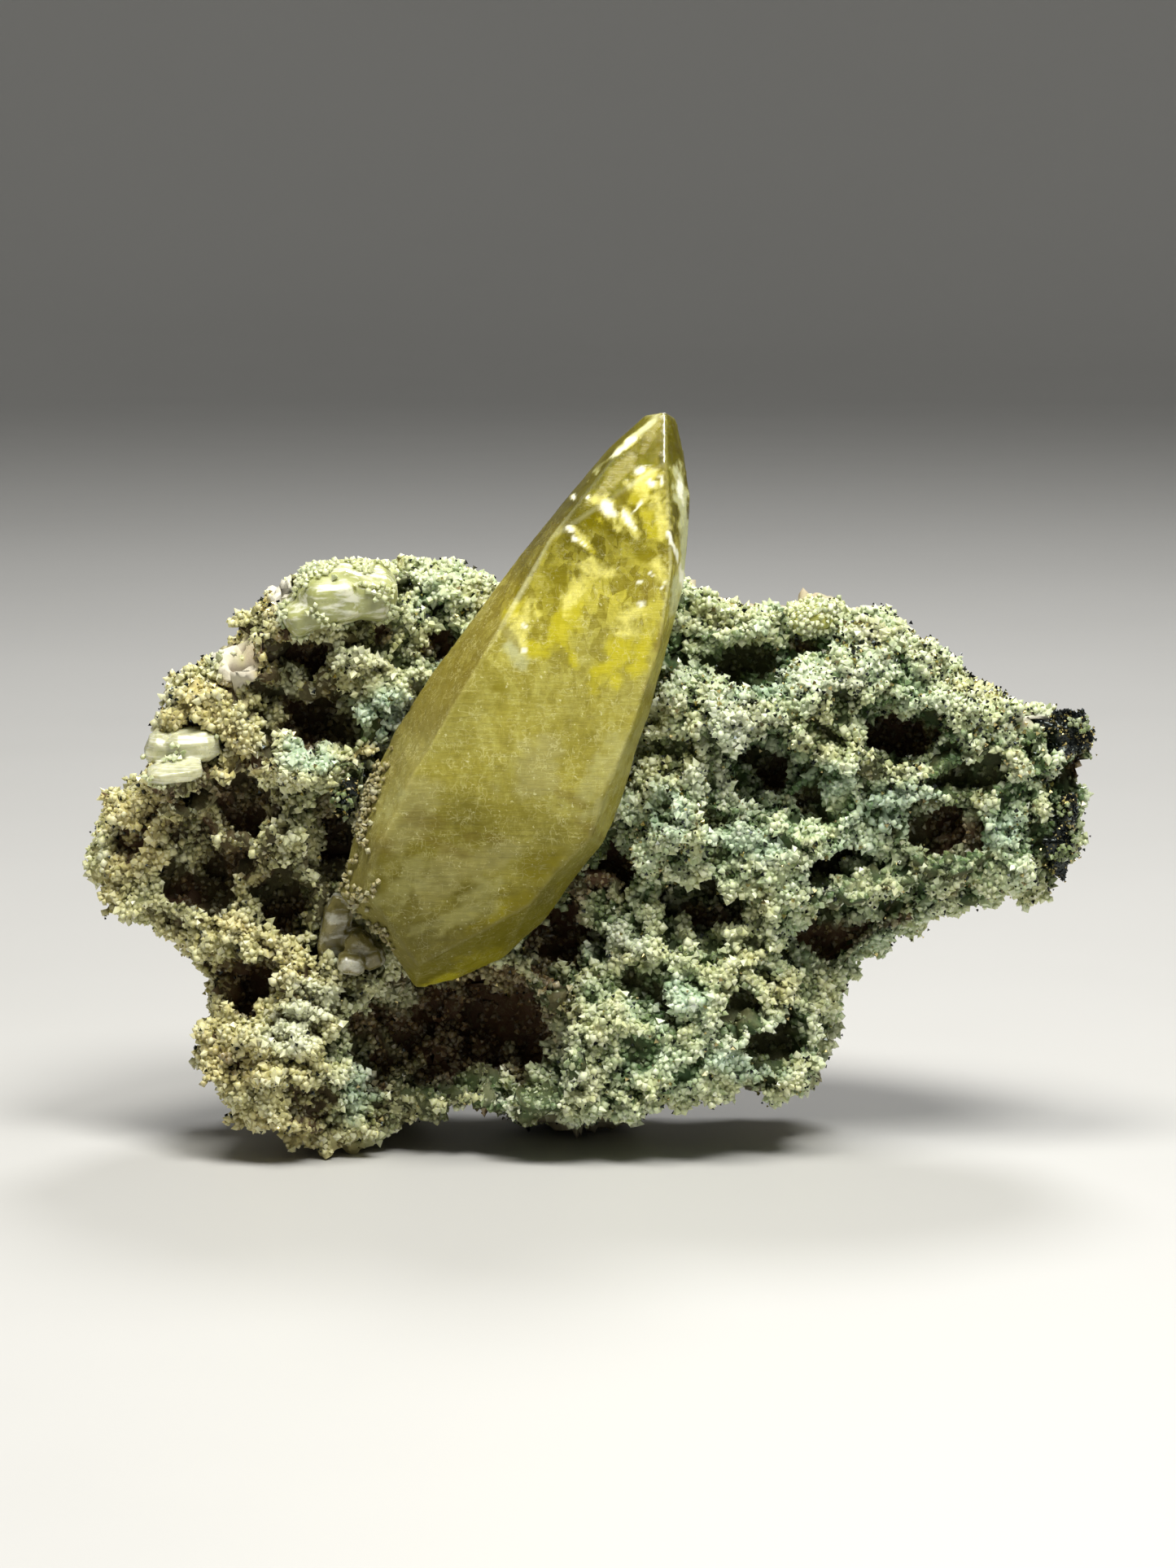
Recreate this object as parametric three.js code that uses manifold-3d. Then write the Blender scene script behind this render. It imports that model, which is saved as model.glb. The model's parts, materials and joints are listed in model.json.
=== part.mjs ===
// A calcite crystal with chalcopyrite on its crystal-crusted rock.
// Millimetres, +Z up. The front, with the large crystal, looks toward -Y.
// While it is built, x counts from the middle of the rock, y from its middle depth and z from the
// surface it stands on. The last lines move the whole so that its box is centred over the origin.
import * as THREE from 'three';
import { ConvexGeometry } from 'three/addons/geometries/ConvexGeometry.js';
import { mergeVertices } from 'three/addons/utils/BufferGeometryUtils.js';
import Module from 'manifold-3d';

const wasm = await Module();
wasm.setup();

// Driving dimensions of the rock.
const ROCK_WIDTH = 120;
const ROCK_HEIGHT = 70;
const FRONT_DEPTH = 15;
const BACK_DEPTH = 25;
const EDGE_ROUNDING = 17;
const ROCK_CENTRE = new THREE.Vector3(0, 0, 41);
const SEED = 4107;

// The gap around everything that sits in the rock, and how deep a small crystal sits, as a share of
// its half depth.
const SEAT_GAP = 0.35;
const SEAT_SINK = 0.35;

// How finely the rock's surface and its outline are divided, and the share of it that faces the back.
const SURFACE_DETAIL = 17;
const OUTLINE_STEPS = 240;
const OUTLINE_TENSION = 0.35;
const BACK_SHARE = 0.3;

// The rock's outline from the front, clockwise from the top left, as x and z.
const OUTLINE = [
  [-47.5, 55.8], [-45, 57.8], [-40, 61.3], [-38, 65.8], [-32, 67.3], [-27.5, 68.3], [-23, 68.3],
  [-19.5, 69.8], [-14.5, 67.3], [-2, 66.8], [5.5, 66.3], [13.5, 66.3], [16.5, 64.3], [25.5, 63.3],
  [29.5, 64.3], [35, 63.8], [39.5, 59.8], [44, 57.3], [49.5, 53.8], [51.5, 51.3], [55, 50.4],
  [58.5, 51.2], [60, 49.3], [59.8, 42.8], [60, 41.3], [57.5, 37.8], [57.2, 29.8], [55, 28],
  [50.5, 28.3], [46, 28.8], [42, 25.3], [37.5, 23.8], [32, 20], [29, 15], [28.5, 9], [25, 6.4],
  [17.5, 7.9], [9.5, 4.9], [0, 3.6], [-9, 3.6], [-15, 5.9], [-20, 5], [-24, 2.5], [-28, 0],
  [-33, 0], [-40, 4.5], [-47, 8.5], [-46.5, 18], [-48.5, 23.8], [-54, 25.3], [-59.5, 32.3],
  [-59, 38.3], [-53, 44.8], [-51, 48.8],
];

// The main lobes of the crust: x, z, how far the lobe reaches forward, half width, half height.
// A lobe's half depth is this share of its mean half size.
const LOBE_DEPTH_SHARE = 0.75;
const FRONT_LOBES = [
  [-29, 60.9, 20, 10, 9], [-43, 51.9, 16, 8, 8], [-53, 35.4, 11, 6.5, 6.5], [-37, 40.9, 20, 9, 8],
  [-37, 12.4, 23, 9.5, 11], [-30.5, 46.9, 21, 6, 6], [-42, 25.9, 17, 7, 7.5], [-1, 12.6, 24, 13, 9.8],
  [12, 12.9, 23, 8, 7.5], [23, 13.9, 19, 5.5, 8], [14, 22.9, 22, 9, 7], [27, 29.9, 18, 8, 6],
  [12, 39.9, 22, 8, 8], [22.5, 34.9, 22, 7, 7], [32, 42.9, 20, 8, 7.5], [34, 56.9, 18, 8, 8],
  [19, 61, 16, 8, 4.6], [15, 52.9, 20, 8, 7], [25, 52.4, 20, 7, 6.5], [45.5, 49.9, 17, 8, 7],
  [43.5, 36.4, 17, 8, 7.5], [52, 39.9, 14, 7, 8], [53, 47.9, 12, 6, 5], [4, 27.9, 18, 6, 6],
  [36, 32.9, 17, 8, 7], [-18, 64.9, 15, 8, 6], [-23, 55.9, 18, 7, 8], [-47, 43.9, 17, 6.5, 6],
  [57, 46, 6, 4, 6], [55.5, 49.6, 6, 5, 2.4], [-35.9, 64.4, 8, 2.8, 3.2], [-19.5, 66, 8, 4.5, 4.6],
  [-56, 33, 5, 5, 6], [-28, 20.9, 18, 6, 8], [-20, 8.9, 17, 8, 5], [-33, 30.9, 17, 6, 6],
  [10, 62.9, 13, 6, 5], [-50.5, 28.7, 8, 4, 4.2], [-55, 41.5, 8, 4.4, 5], [-39.6, 61.8, 6, 3.2, 3.4],
  [25.5, 9.6, 10, 4, 4.4], [27, 61, 12, 6.5, 4.4],
];

// Hollows in the crust: x, z, half width, half height, depth.
const HOLLOWS = [
  [21, 46.4, 2.6, 2.6, 10], [19, 58.9, 4.8, 1.9, 7], [37, 49.9, 4.2, 3, 7],
  [25, 61.5, 2.4, 1.7, 5], [-31, 52.1, 4.2, 2.8, 9], [-33, 59.3, 2.8, 2.3, 6],
  [-41, 41.7, 4.2, 2.6, 8], [-46, 32.9, 3.4, 2.4, 7], [-35.5, 30.6, 3, 2.4, 7],
  [-41.3, 35.4, 2.2, 1.8, 6], [-40.3, 20.9, 2.8, 3.4, 7], [26, 42.4, 2.6, 1.8, 6],
  [42, 39.6, 2.4, 2.4, 7], [14, 30.1, 4.2, 1.9, 8], [30, 26.7, 5.2, 3.6, 11], [36, 27.9, 3, 2, 7],
  [24, 13.9, 3.6, 1.6, 7], [57.4, 44.9, 1.8, 3, 4.5], [-29.5, 37.9, 2.6, 4.4, 8],
  [30, 35.4, 2.4, 1.5, 5], [7, 18.9, 2.2, 1.6, 5], [-46.5, 37.9, 2.2, 1.6, 5],
  [44.5, 44.9, 2.6, 1.6, 5], [-32, 6.7, 2.6, 1.4, 5], [-24, 62.1, 2, 1.6, 5],
  [-18.2, 60.4, 1.8, 1.4, 5],
];

// How far inside the rock a hollow may reach at most, as a share of the way out to its surface.
const DEEPEST_HOLLOW = 0.3;

// The large hollow under the crystal and the narrow one beside its lower right edge: centre, half sizes.
const LARGE_HOLLOWS = [
  [[-15, -26, 15], [11.5, 22, 8.5]], [[-3, -24, 27], [5, 16, 6.5]], [[2.4, -24, 34.4], [3.6, 16, 6]],
];

// The lumps that the rock stands on, cut level at the surface, and one more of the underside that
// hangs clear of it: centre and half sizes.
const FRONT_FOOT = [[-31, -13, 4.6], [7, 6, 7]];
const UNDERSIDE_LUMPS = [
  [[-28, 9, 8], [11, 11, 9.5]], [[-2, 3, 7], [12, 12, 8.5]], [[20, 8, 12], [11, 10, 8]],
];

// Broken faces at the back: a point on the face, and the way that the face looks.
const BREAKS = [
  { at: [0, 23, 30], looks: [0.1, 1, -0.18] },
  { at: [38, 17, 36], looks: [0.75, 1, 0.1] },
  { at: [-38, 18, 40], looks: [-0.8, 1, 0.25] },
  { at: [8, 16, 60], looks: [0.05, 0.8, 1] },
  { at: [-34, 19, 12], looks: [-0.5, 1, -0.5] },
  { at: [50, 6, 24], looks: [1, 0.5, -1] },
];
const LEDGE_HEIGHT = 11;
const LEDGE_DEPTH = 2.2;
const FACET_ROUGHNESS = 0.45;

// The scattered lumps: how many, and their smallest and largest half size.
const KNOBS = { count: 120, sizes: [2.2, 4] };
const RIM_LUMPS = { count: 46, sizes: [3.4, 5.6] };
const BACK_LUMPS = { count: 9, sizes: [8, 13], insideEdge: 3 };

// The edges of the large crystal, each from the tip down to the foot, as x, y and z.
const CRYSTAL_EDGES = {
  left: [[6.5, -15, 87.4], [2.5, -15, 83.8], [-2, -15.5, 78.5], [-8, -16, 71.1], [-18.5, -17, 57.1],
    [-22.5, -17.5, 51.1], [-26.2, -18, 42.7], [-28, -19, 36.5], [-28.9, -19.5, 32]],
  frontLeft: [[8, -16.2, 87.7], [3, -18, 82.8], [0, -19.6, 78.2], [-4.3, -21.5, 73.8], [-9, -23.6, 65.2],
    [-14.5, -25.4, 56.3], [-20, -26.4, 47.2], [-23.6, -26.2, 39.3], [-25.6, -25, 33.2]],
  frontRight: [[9, -16.4, 87.9], [9, -19.6, 82.4], [9.5, -21.4, 75.6], [9.6, -22.4, 70.1],
    [8.2, -23.6, 61.2], [5.2, -25, 52.3], [1.5, -26, 44.5], [0.2, -25.6, 39.5],
    [-6.5, -25.5, 31.7], [-15, -25, 26.8], [-19.8, -24, 24.2]],
  right: [[10.3, -15, 87], [11.2, -15.5, 83], [11.9, -16, 78.1], [11.7, -16.5, 74.2], [11.1, -17, 67.7],
    [9, -18, 59.8], [7, -19, 52.6], [3.2, -19.5, 41.4], [1.6, -20, 37.9], [-1.8, -20, 33.4],
    [-5.2, -19.5, 28.7], [-9.8, -19, 24.2], [-15.6, -18.5, 21.8], [-20, -18.5, 20.8]],
  backRight: [[9, -13.8, 87.4], [8.8, -11.5, 80.5], [8.5, -8.5, 70.4], [6, -6, 58.4], [2, -6, 44.4],
    [-6, -10, 30.4]],
  backLeft: [[7.5, -13.8, 87.4], [3, -11.5, 80.5], [-3, -8, 70], [-11, -5, 56.4], [-18, -5, 42.4],
    [-22, -11, 30.4]],
};

// Bites out of the large crystal, each through its whole depth: corners as x and z.
const CRYSTAL_BITES = [
  [[-23.5, 27.3], [-36, 34.9], [-36, 14.9], [-16.8, 14.9]],
  [[6.4, 52.2], [10, 53.9], [10, 50.4]],
  [[2, 39.5], [6, 39.8], [4, 35.9]],
];

// Small crystals as blocks with their corners cut off: x, z, half sizes across, in depth and up, and
// how far the block is turned in the front view, in degrees.
const SIDE_CRYSTALS = [
  [-29.6, 27.1, 1.7, 1.6, 4.4, 12], [-26.8, 25.7, 1.6, 1.8, 1.5, 40], [-25.2, 24.1, 1.5, 1.7, 1.3, -20],
  [-27.6, 23.7, 1.6, 1.6, 1.2, 10],
];
const DOME_CRYSTALS = [
  [-29.6, 66.8, 4, 5, 3.2, -12], [-25.6, 67, 3.4, 4.6, 2.8, 8], [-33, 64.6, 2.4, 3.6, 2, -30],
];
const BLADE_CRYSTALS = [
  [-46.2, 48.8, 3.2, 2.6, 1.8, -4], [-48, 46.2, 3.2, 2.6, 1, -6], [-50, 48.3, 1.6, 2, 1.8, 20],
];
const TOP_RIGHT_CRYSTALS = [
  [26.2, 63.2, 2.4, 2.4, 1.5, -18],
];

// Where chalcopyrite is dense enough to be a crust of its own: x, z and size of each crystal.
const RIGHT_END_CHALCOPYRITE = [
  [55.6, 51.3, 1.7], [57.4, 50.7, 1.8], [57, 48.7, 1.8], [55.2, 49.5, 1.7], [58.4, 48.9, 1.6],
  [53.6, 50.5, 1.5], [55.8, 47.7, 1.5],
];
const RIGHT_EDGE_CHALCOPYRITE = [
  [56.4, 41.7, 1.6], [56.2, 39.7, 1.8], [55.8, 37.7, 1.7], [55.8, 35.7, 1.8], [55.4, 33.7, 1.7],
  [54.4, 36.7, 1.5],
];
const BESIDE_CHALCOPYRITE = [
  [-27.6, 44.7, 1.5], [-28.3, 43.3, 1.5], [-28.4, 41.9, 1.5],
];

// A repeatable run of random numbers from 0 to 1.
function randomRun(seed) {
  let state = seed;
  return () => {
    state = (state * 1664525 + 1013904223) % 4294967296;
    return state / 4294967296;
  };
}

const random = randomRun(SEED);
const between = (low, high) => low + (high - low) * random();

function solidOf(geometry) {
  const bare = geometry.clone();
  bare.deleteAttribute('normal');
  bare.deleteAttribute('uv');
  const merged = mergeVertices(bare, 1e-4);
  return new wasm.Manifold(new wasm.Mesh({
    numProp: 3,
    vertProperties: new Float32Array(merged.attributes.position.array),
    triVerts: new Uint32Array(merged.index.array),
  }));
}

function joined(solids) {
  return solids.reduce((whole, solid) => whole.add(solid));
}

function without(solid, cuts) {
  return cuts.reduce((rest, cut) => rest.subtract(cut), solid);
}

const outlineCurve = new THREE.CatmullRomCurve3(
  OUTLINE.map(([x, z]) => new THREE.Vector3(x, 0, z)), true, 'catmullrom', OUTLINE_TENSION);
const OUTLINE_SAMPLES = outlineCurve.getSpacedPoints(OUTLINE_STEPS);

function distanceToOutline(x, z) {
  const here = new THREE.Vector3(x, 0, z);
  return Math.min(...OUTLINE_SAMPLES.map((sample) => sample.distanceTo(here)));
}

function insideOutline(x, z) {
  let inside = false;
  OUTLINE_SAMPLES.forEach((start, i) => {
    const end = OUTLINE_SAMPLES[(i + 1) % OUTLINE_SAMPLES.length];
    const crosses = (start.z > z) !== (end.z > z);
    if (crosses && x < start.x + (end.x - start.x) * (z - start.z) / (end.z - start.z)) {
      inside = !inside;
    }
  });
  return inside;
}

// How full the rock is at this distance in from its outline: 0 at the outline, 1 inside.
function fullness(distance) {
  const inward = Math.min(distance / EDGE_ROUNDING, 1);
  return Math.sqrt(1 - (1 - inward) ** 2);
}

// A lump is an ellipsoid: its centre and its half sizes.
function lump(centre, halves) {
  return { centre: new THREE.Vector3(...centre), halves: new THREE.Vector3(...halves) };
}

function frontLobes() {
  return FRONT_LOBES.map(([x, z, reach, halfX, halfZ]) => {
    const halfY = LOBE_DEPTH_SHARE * (halfX + halfZ) / 2;
    return lump([x, halfY - reach, z], [halfX, halfY, halfZ]);
  });
}

const lobes = frontLobes();

// Where a ray enters and leaves a lump, as distances along the ray, or null where it misses.
function crossing(origin, direction, { centre, halves }) {
  const from = origin.clone().sub(centre).divide(halves);
  const step = direction.clone().divide(halves);
  const a = step.dot(step);
  const b = from.dot(step);
  const inRoot = b * b - a * (from.dot(from) - 1);
  return inRoot < 0 ? null : { enter: (-b - Math.sqrt(inRoot)) / a, leave: (-b + Math.sqrt(inRoot)) / a };
}

// The foremost surface of the body and the given lumps at a place on the front.
function frontSurface(x, z, lumps) {
  const forward = new THREE.Vector3(0, -1, 0);
  const origin = new THREE.Vector3(x, 0, z);
  const reaches = lumps.map((part) => crossing(origin, forward, part)?.leave ?? 0);
  return -Math.max(FRONT_DEPTH * fullness(distanceToOutline(x, z)), ...reaches);
}

// Small knobs of the crust, scattered over the front within the outline.
function crustKnobs() {
  const found = [];
  while (found.length < KNOBS.count) {
    const x = between(-ROCK_WIDTH / 2, ROCK_WIDTH / 2);
    const z = between(0, ROCK_HEIGHT);
    const size = between(...KNOBS.sizes);
    if (insideOutline(x, z) && distanceToOutline(x, z) > size) {
      const y = frontSurface(x, z, lobes) + 0.2 * size;
      found.push(lump([x, y, z], [size, size * 0.9, size * 0.9]));
    }
  }
  return found;
}

const knobs = crustKnobs();

// Lumps along the rim, each touching the outline from inside, some forward and some back.
function rimLumps() {
  const lumps = [];
  const inward = 0.9;
  for (let i = 0; i < RIM_LUMPS.count; i += 1) {
    const place = (i + between(-0.3, 0.3) + RIM_LUMPS.count) % RIM_LUMPS.count / RIM_LUMPS.count;
    const edge = outlineCurve.getPointAt(place);
    const along = outlineCurve.getTangentAt(place);
    const size = between(...RIM_LUMPS.sizes);
    const x = edge.x + along.z * size * inward;
    const z = edge.z - along.x * size * inward;
    lumps.push(lump([x, between(-8, 8), z], [size, between(4, 8), size]));
  }
  return lumps;
}

// Larger lumps of bare rock at the back.
function backLumps() {
  const lumps = [];
  const span = 0.7 * ROCK_WIDTH;
  for (let i = 0; i < BACK_LUMPS.count; i += 1) {
    const x = span * ((i + 0.5) / BACK_LUMPS.count - 0.5) - 2;
    const z = i % 2 === 0 ? between(20, 30) : between(42, 52);
    const size = Math.min(between(...BACK_LUMPS.sizes), distanceToOutline(x, z) - BACK_LUMPS.insideEdge);
    lumps.push(lump([x, between(14, 17), z], [size, 9, size * between(0.6, 0.9)]));
  }
  return lumps;
}

// A hollow starts this far outside its stated size, because the facets round off its lip.
const HOLLOW_LIP = 0.8;

function hollows() {
  const small = HOLLOWS.map(([x, z, halfX, halfZ, depth]) =>
    lump([x, frontSurface(x, z, lobes), z], [halfX + HOLLOW_LIP, depth, halfZ + HOLLOW_LIP]));
  return [...small, ...LARGE_HOLLOWS.map(([centre, halves]) => lump(centre, halves))];
}

// How far the broken faces and ledges of the back let a ray go on.
function backLimit(origin, direction) {
  let limit = Infinity;
  for (const { at, looks } of BREAKS) {
    const facing = new THREE.Vector3(...looks).normalize();
    const approach = facing.dot(direction);
    if (approach > 0.05) {
      const distance = facing.dot(new THREE.Vector3(...at).sub(origin)) / approach;
      const sway = 3 * Math.sin(origin.x / 9) + 2 * Math.sin(origin.z / 5 + origin.x / 14);
      const height = (origin.z + 0.35 * origin.x + sway) / LEDGE_HEIGHT;
      limit = Math.min(limit, distance - LEDGE_DEPTH * (height - Math.floor(height)) ** 2);
    }
  }
  return limit;
}

// How far the outline lies from the rock's middle on a spoke, which is turned evenly in an oval.
function spokeLength(across, up) {
  let longest = 0;
  OUTLINE_SAMPLES.forEach((start, i) => {
    const end = OUTLINE_SAMPLES[(i + 1) % OUTLINE_SAMPLES.length];
    const edge = [end.x - start.x, end.z - start.z];
    const from = [start.x - ROCK_CENTRE.x, start.z - ROCK_CENTRE.z];
    const slant = across * edge[1] - up * edge[0];
    const alongEdge = (up * from[0] - across * from[1]) / slant;
    const alongSpoke = (edge[1] * from[0] - edge[0] * from[1]) / slant;
    if (alongEdge >= 0 && alongEdge <= 1) {
      longest = Math.max(longest, alongSpoke);
    }
  });
  return longest;
}

// Where the rock's plain body lies for a point of a ball of radius 1, and the ray that goes out there.
function bodyRay(ballPoint) {
  const startShare = 0.85;
  const depthOnBall = (ballPoint.y + 1) / 2;
  const isFront = depthOnBall < 1 - BACK_SHARE;
  const ring = Math.sqrt(isFront ? depthOnBall / (1 - BACK_SHARE) : (1 - depthOnBall) / BACK_SHARE);
  const turn = Math.atan2(ballPoint.z, ballPoint.x);
  const spoke = new THREE.Vector3(ROCK_WIDTH * Math.cos(turn), 0, ROCK_HEIGHT * Math.sin(turn));
  const reachOut = spokeLength(spoke.x, spoke.z) * Math.min(ring, 1);
  const surface = ROCK_CENTRE.clone().addScaledVector(spoke, reachOut);
  const origin = ROCK_CENTRE.clone().lerp(surface, startShare);
  surface.y = (isFront ? -FRONT_DEPTH : BACK_DEPTH) * fullness(distanceToOutline(surface.x, surface.z));
  const reach = surface.distanceTo(origin);
  return { origin, reach, direction: surface.sub(origin).normalize() };
}

// The rock's skin: each point of a ball goes out to the last lump that its ray meets, and back in
// where a hollow takes it.
function rockSkin() {
  const ball = new THREE.IcosahedronGeometry(1, SURFACE_DETAIL);
  const tipForward = 0.35;
  ball.rotateX(tipForward);
  ball.deleteAttribute('normal');
  ball.deleteAttribute('uv');
  const geometry = mergeVertices(ball, 1e-4);
  const lumps = [...lobes, ...rimLumps(), ...knobs, ...backLumps(), lump(...FRONT_FOOT)];
  const pits = hollows();
  const corners = geometry.attributes.position;
  for (let i = 0; i < corners.count; i += 1) {
    const { origin, direction, reach } = bodyRay(new THREE.Vector3().fromBufferAttribute(corners, i));
    const exits = lumps.map((part) => crossing(origin, direction, part)?.leave ?? 0);
    let distance = Math.min(Math.max(reach, ...exits), backLimit(origin, direction));
    for (const pit of pits) {
      const cut = crossing(origin, direction, pit);
      if (cut && cut.enter < distance && cut.leave > distance) {
        distance = Math.max(cut.enter, DEEPEST_HOLLOW * reach);
      }
    }
    const place = origin.addScaledVector(direction, distance + between(-FACET_ROUGHNESS, FACET_ROUGHNESS));
    corners.setXYZ(i, place.x, place.y, place.z);
  }
  return solidOf(geometry);
}

// One lump of the underside, with its corners a little uneven.
function undersideLump([centre, halves]) {
  const ball = new THREE.IcosahedronGeometry(1, 3);
  ball.deleteAttribute('normal');
  ball.deleteAttribute('uv');
  const geometry = mergeVertices(ball, 1e-4);
  const corners = geometry.attributes.position;
  for (let i = 0; i < corners.count; i += 1) {
    const corner = new THREE.Vector3().fromBufferAttribute(corners, i);
    corner.multiplyScalar(between(0.94, 1.04)).multiply(new THREE.Vector3(...halves));
    corner.add(new THREE.Vector3(...centre));
    corners.setXYZ(i, corner.x, corner.y, corner.z);
  }
  return solidOf(geometry);
}

function belowSurface() {
  const size = 200;
  const block = new THREE.BoxGeometry(size, size, size);
  block.translate(0, 0, -size / 2);
  return solidOf(block);
}

// The flat-faced solid around a set of corners, grown outward a little to make room for a seat.
// A corner moves this much farther than the gap, so that its faces clear the gap too.
const CORNER_GROWTH = 1.4;
const SIX_WAYS = [[1, 0, 0], [-1, 0, 0], [0, 1, 0], [0, -1, 0], [0, 0, 1], [0, 0, -1]];

function grownCrystal(corners, grow) {
  const steps = grow === 0 ? [[0, 0, 0]] : SIX_WAYS;
  const points = corners.flatMap((corner) => steps.map((step) =>
    corner.clone().addScaledVector(new THREE.Vector3(...step), grow * CORNER_GROWTH)));
  return solidOf(new ConvexGeometry(points));
}

// A straight cut through the crystal's depth, with the given corners in the front view.
function biteThrough(corners) {
  const backEnd = 20;
  const outline = new THREE.Shape(corners.map(([x, z]) => new THREE.Vector2(x, z)));
  const bite = new THREE.ExtrudeGeometry(outline, { depth: 60, bevelEnabled: false });
  bite.rotateX(Math.PI / 2);
  bite.translate(0, backEnd, 0);
  return solidOf(bite);
}

function calciteCrystal(grow) {
  const corners = Object.values(CRYSTAL_EDGES).flat().map((corner) => new THREE.Vector3(...corner));
  const whole = grownCrystal(corners, grow);
  return grow > 0 ? whole : without(whole, CRYSTAL_BITES.map(biteThrough));
}

// Where something of this half depth sits on the front of the rock.
function seatAt(x, z, halfDepth) {
  return new THREE.Vector3(x, frontSurface(x, z, [...lobes, ...knobs]) + SEAT_SINK * halfDepth, z);
}

// A blocky crystal whose eight corners are cut off by this share of its half sizes.
const CORNER_CUT = 0.45;

function blockCrystal([x, z, halfX, halfY, halfZ, turn], grow) {
  const halves = [halfX + grow, halfY + grow, halfZ + grow];
  const leanForward = 0.2;
  const leanAcross = 0.1;
  const spin = new THREE.Euler(leanForward, THREE.MathUtils.degToRad(turn), leanAcross);
  const seat = seatAt(x, z, halfY);
  const corners = [];
  for (const signs of [-1, 1].flatMap((a) => [-1, 1].flatMap((b) => [-1, 1].map((c) => [a, b, c])))) {
    for (let full = 0; full < 3; full += 1) {
      const [cx, cy, cz] = signs.map((sign, i) => sign * halves[i] * (i === full ? 1 : 1 - CORNER_CUT));
      corners.push(new THREE.Vector3(cx, cy, cz).applyEuler(spin).add(seat));
    }
  }
  return solidOf(new ConvexGeometry(corners));
}

// A chalcopyrite crystal: a four-cornered wedge, its corners three times as far out as its faces.
const WEDGE_REACH = 1.5;
const CORNER_TO_FACE = 3;

function wedgeCrystal([x, z, size], index, grow) {
  const wedge = new THREE.TetrahedronGeometry(WEDGE_REACH * size + CORNER_TO_FACE * grow);
  const spin = new THREE.Euler(index * 1.7, index * 2.3, index * 0.9);
  wedge.applyMatrix4(new THREE.Matrix4().makeRotationFromEuler(spin).setPosition(seatAt(x, z, size)));
  return solidOf(wedge);
}

function blocks(list) {
  return (grow) => joined(list.map((block) => blockCrystal(block, grow)));
}

function chalcopyrite(list) {
  return (grow) => joined(list.map((crystal, index) => wedgeCrystal(crystal, index, grow)));
}

// Everything that sits in the rock: its name, how it is made, its colour and its finish.
const CALCITE_FINISH = { roughness: 0.12, metalness: 0 };
const CHALCOPYRITE_FINISH = { color: 0x8a6f2a, roughness: 0.3, metalness: 1 };
const SEATED = [
  ['calcite_crystal', calciteCrystal, { color: 0xb8a93a, ...CALCITE_FINISH }],
  ['calcite_side_crystals', blocks(SIDE_CRYSTALS), { color: 0xb9b6a0, ...CALCITE_FINISH }],
  ['calcite_dome_crystal', blocks(DOME_CRYSTALS), { color: 0xd8dc9a, ...CALCITE_FINISH }],
  ['calcite_blade_crystal', blocks(BLADE_CRYSTALS), { color: 0xd6d4b0, ...CALCITE_FINISH }],
  ['calcite_top_right_crystal', blocks(TOP_RIGHT_CRYSTALS), { color: 0xcfd27a, ...CALCITE_FINISH }],
  ['chalcopyrite_right_end', chalcopyrite(RIGHT_END_CHALCOPYRITE), CHALCOPYRITE_FINISH],
  ['chalcopyrite_right_edge', chalcopyrite(RIGHT_EDGE_CHALCOPYRITE), CHALCOPYRITE_FINISH],
  ['chalcopyrite_beside_crystal', chalcopyrite(BESIDE_CHALCOPYRITE), CHALCOPYRITE_FINISH],
];

function matrix() {
  const rock = joined([rockSkin(), ...UNDERSIDE_LUMPS.map(undersideLump)]);
  return without(rock, [...SEATED.map(([, make]) => make(SEAT_GAP)), belowSurface()]);
}

// Joins and cuts can leave a loose crumb or a sealed bubble, so only the largest shell is kept.
function largestShell(corners, triangles) {
  const parent = Array.from({ length: corners }, (_, i) => i);
  const rootOf = (i) => {
    let root = i;
    while (parent[root] !== root) {
      parent[root] = parent[parent[root]];
      root = parent[root];
    }
    return root;
  };
  const sizes = new Map();
  for (let i = 0; i < triangles.length; i += 3) {
    parent[rootOf(triangles[i + 1])] = rootOf(triangles[i]);
    parent[rootOf(triangles[i + 2])] = rootOf(triangles[i]);
  }
  for (const corner of triangles) {
    sizes.set(rootOf(corner), (sizes.get(rootOf(corner)) ?? 0) + 1);
  }
  const [largest] = [...sizes].sort((a, b) => b[1] - a[1])[0];
  return triangles.filter((corner) => rootOf(corner) === largest);
}

function namedMesh(name, solid, finish) {
  const { vertProperties, triVerts } = solid.getMesh();
  const kept = largestShell(vertProperties.length / 3, triVerts);
  const geometry = new THREE.BufferGeometry();
  geometry.setAttribute('position', new THREE.BufferAttribute(new Float32Array(vertProperties), 3));
  geometry.setIndex(new THREE.BufferAttribute(new Uint32Array(kept), 1));
  geometry.computeVertexNormals();
  const mesh = new THREE.Mesh(geometry, new THREE.MeshStandardMaterial(finish));
  mesh.name = name;
  return mesh;
}

const group = new THREE.Group();
group.add(namedMesh('matrix', matrix(), { color: 0xb7bd9b, roughness: 0.85, metalness: 0 }));
for (const [name, make, finish] of SEATED) {
  group.add(namedMesh(name, make(0), finish));
}

const whole = new THREE.Box3().setFromObject(group);
const middle = whole.getCenter(new THREE.Vector3());
group.position.set(-middle.x, -middle.y, -whole.min.z);

export default group;
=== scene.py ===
"""Calcite with chalcopyrite: a large yellow crystal on rock that is crusted with small crystals.

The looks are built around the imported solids, in metres, with +Z up and the front toward -Y.
"""
import json
import math

import bmesh
import bpy
import numpy as np
from mathutils import Euler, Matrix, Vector
from mathutils.bvhtree import BVHTree

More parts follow.
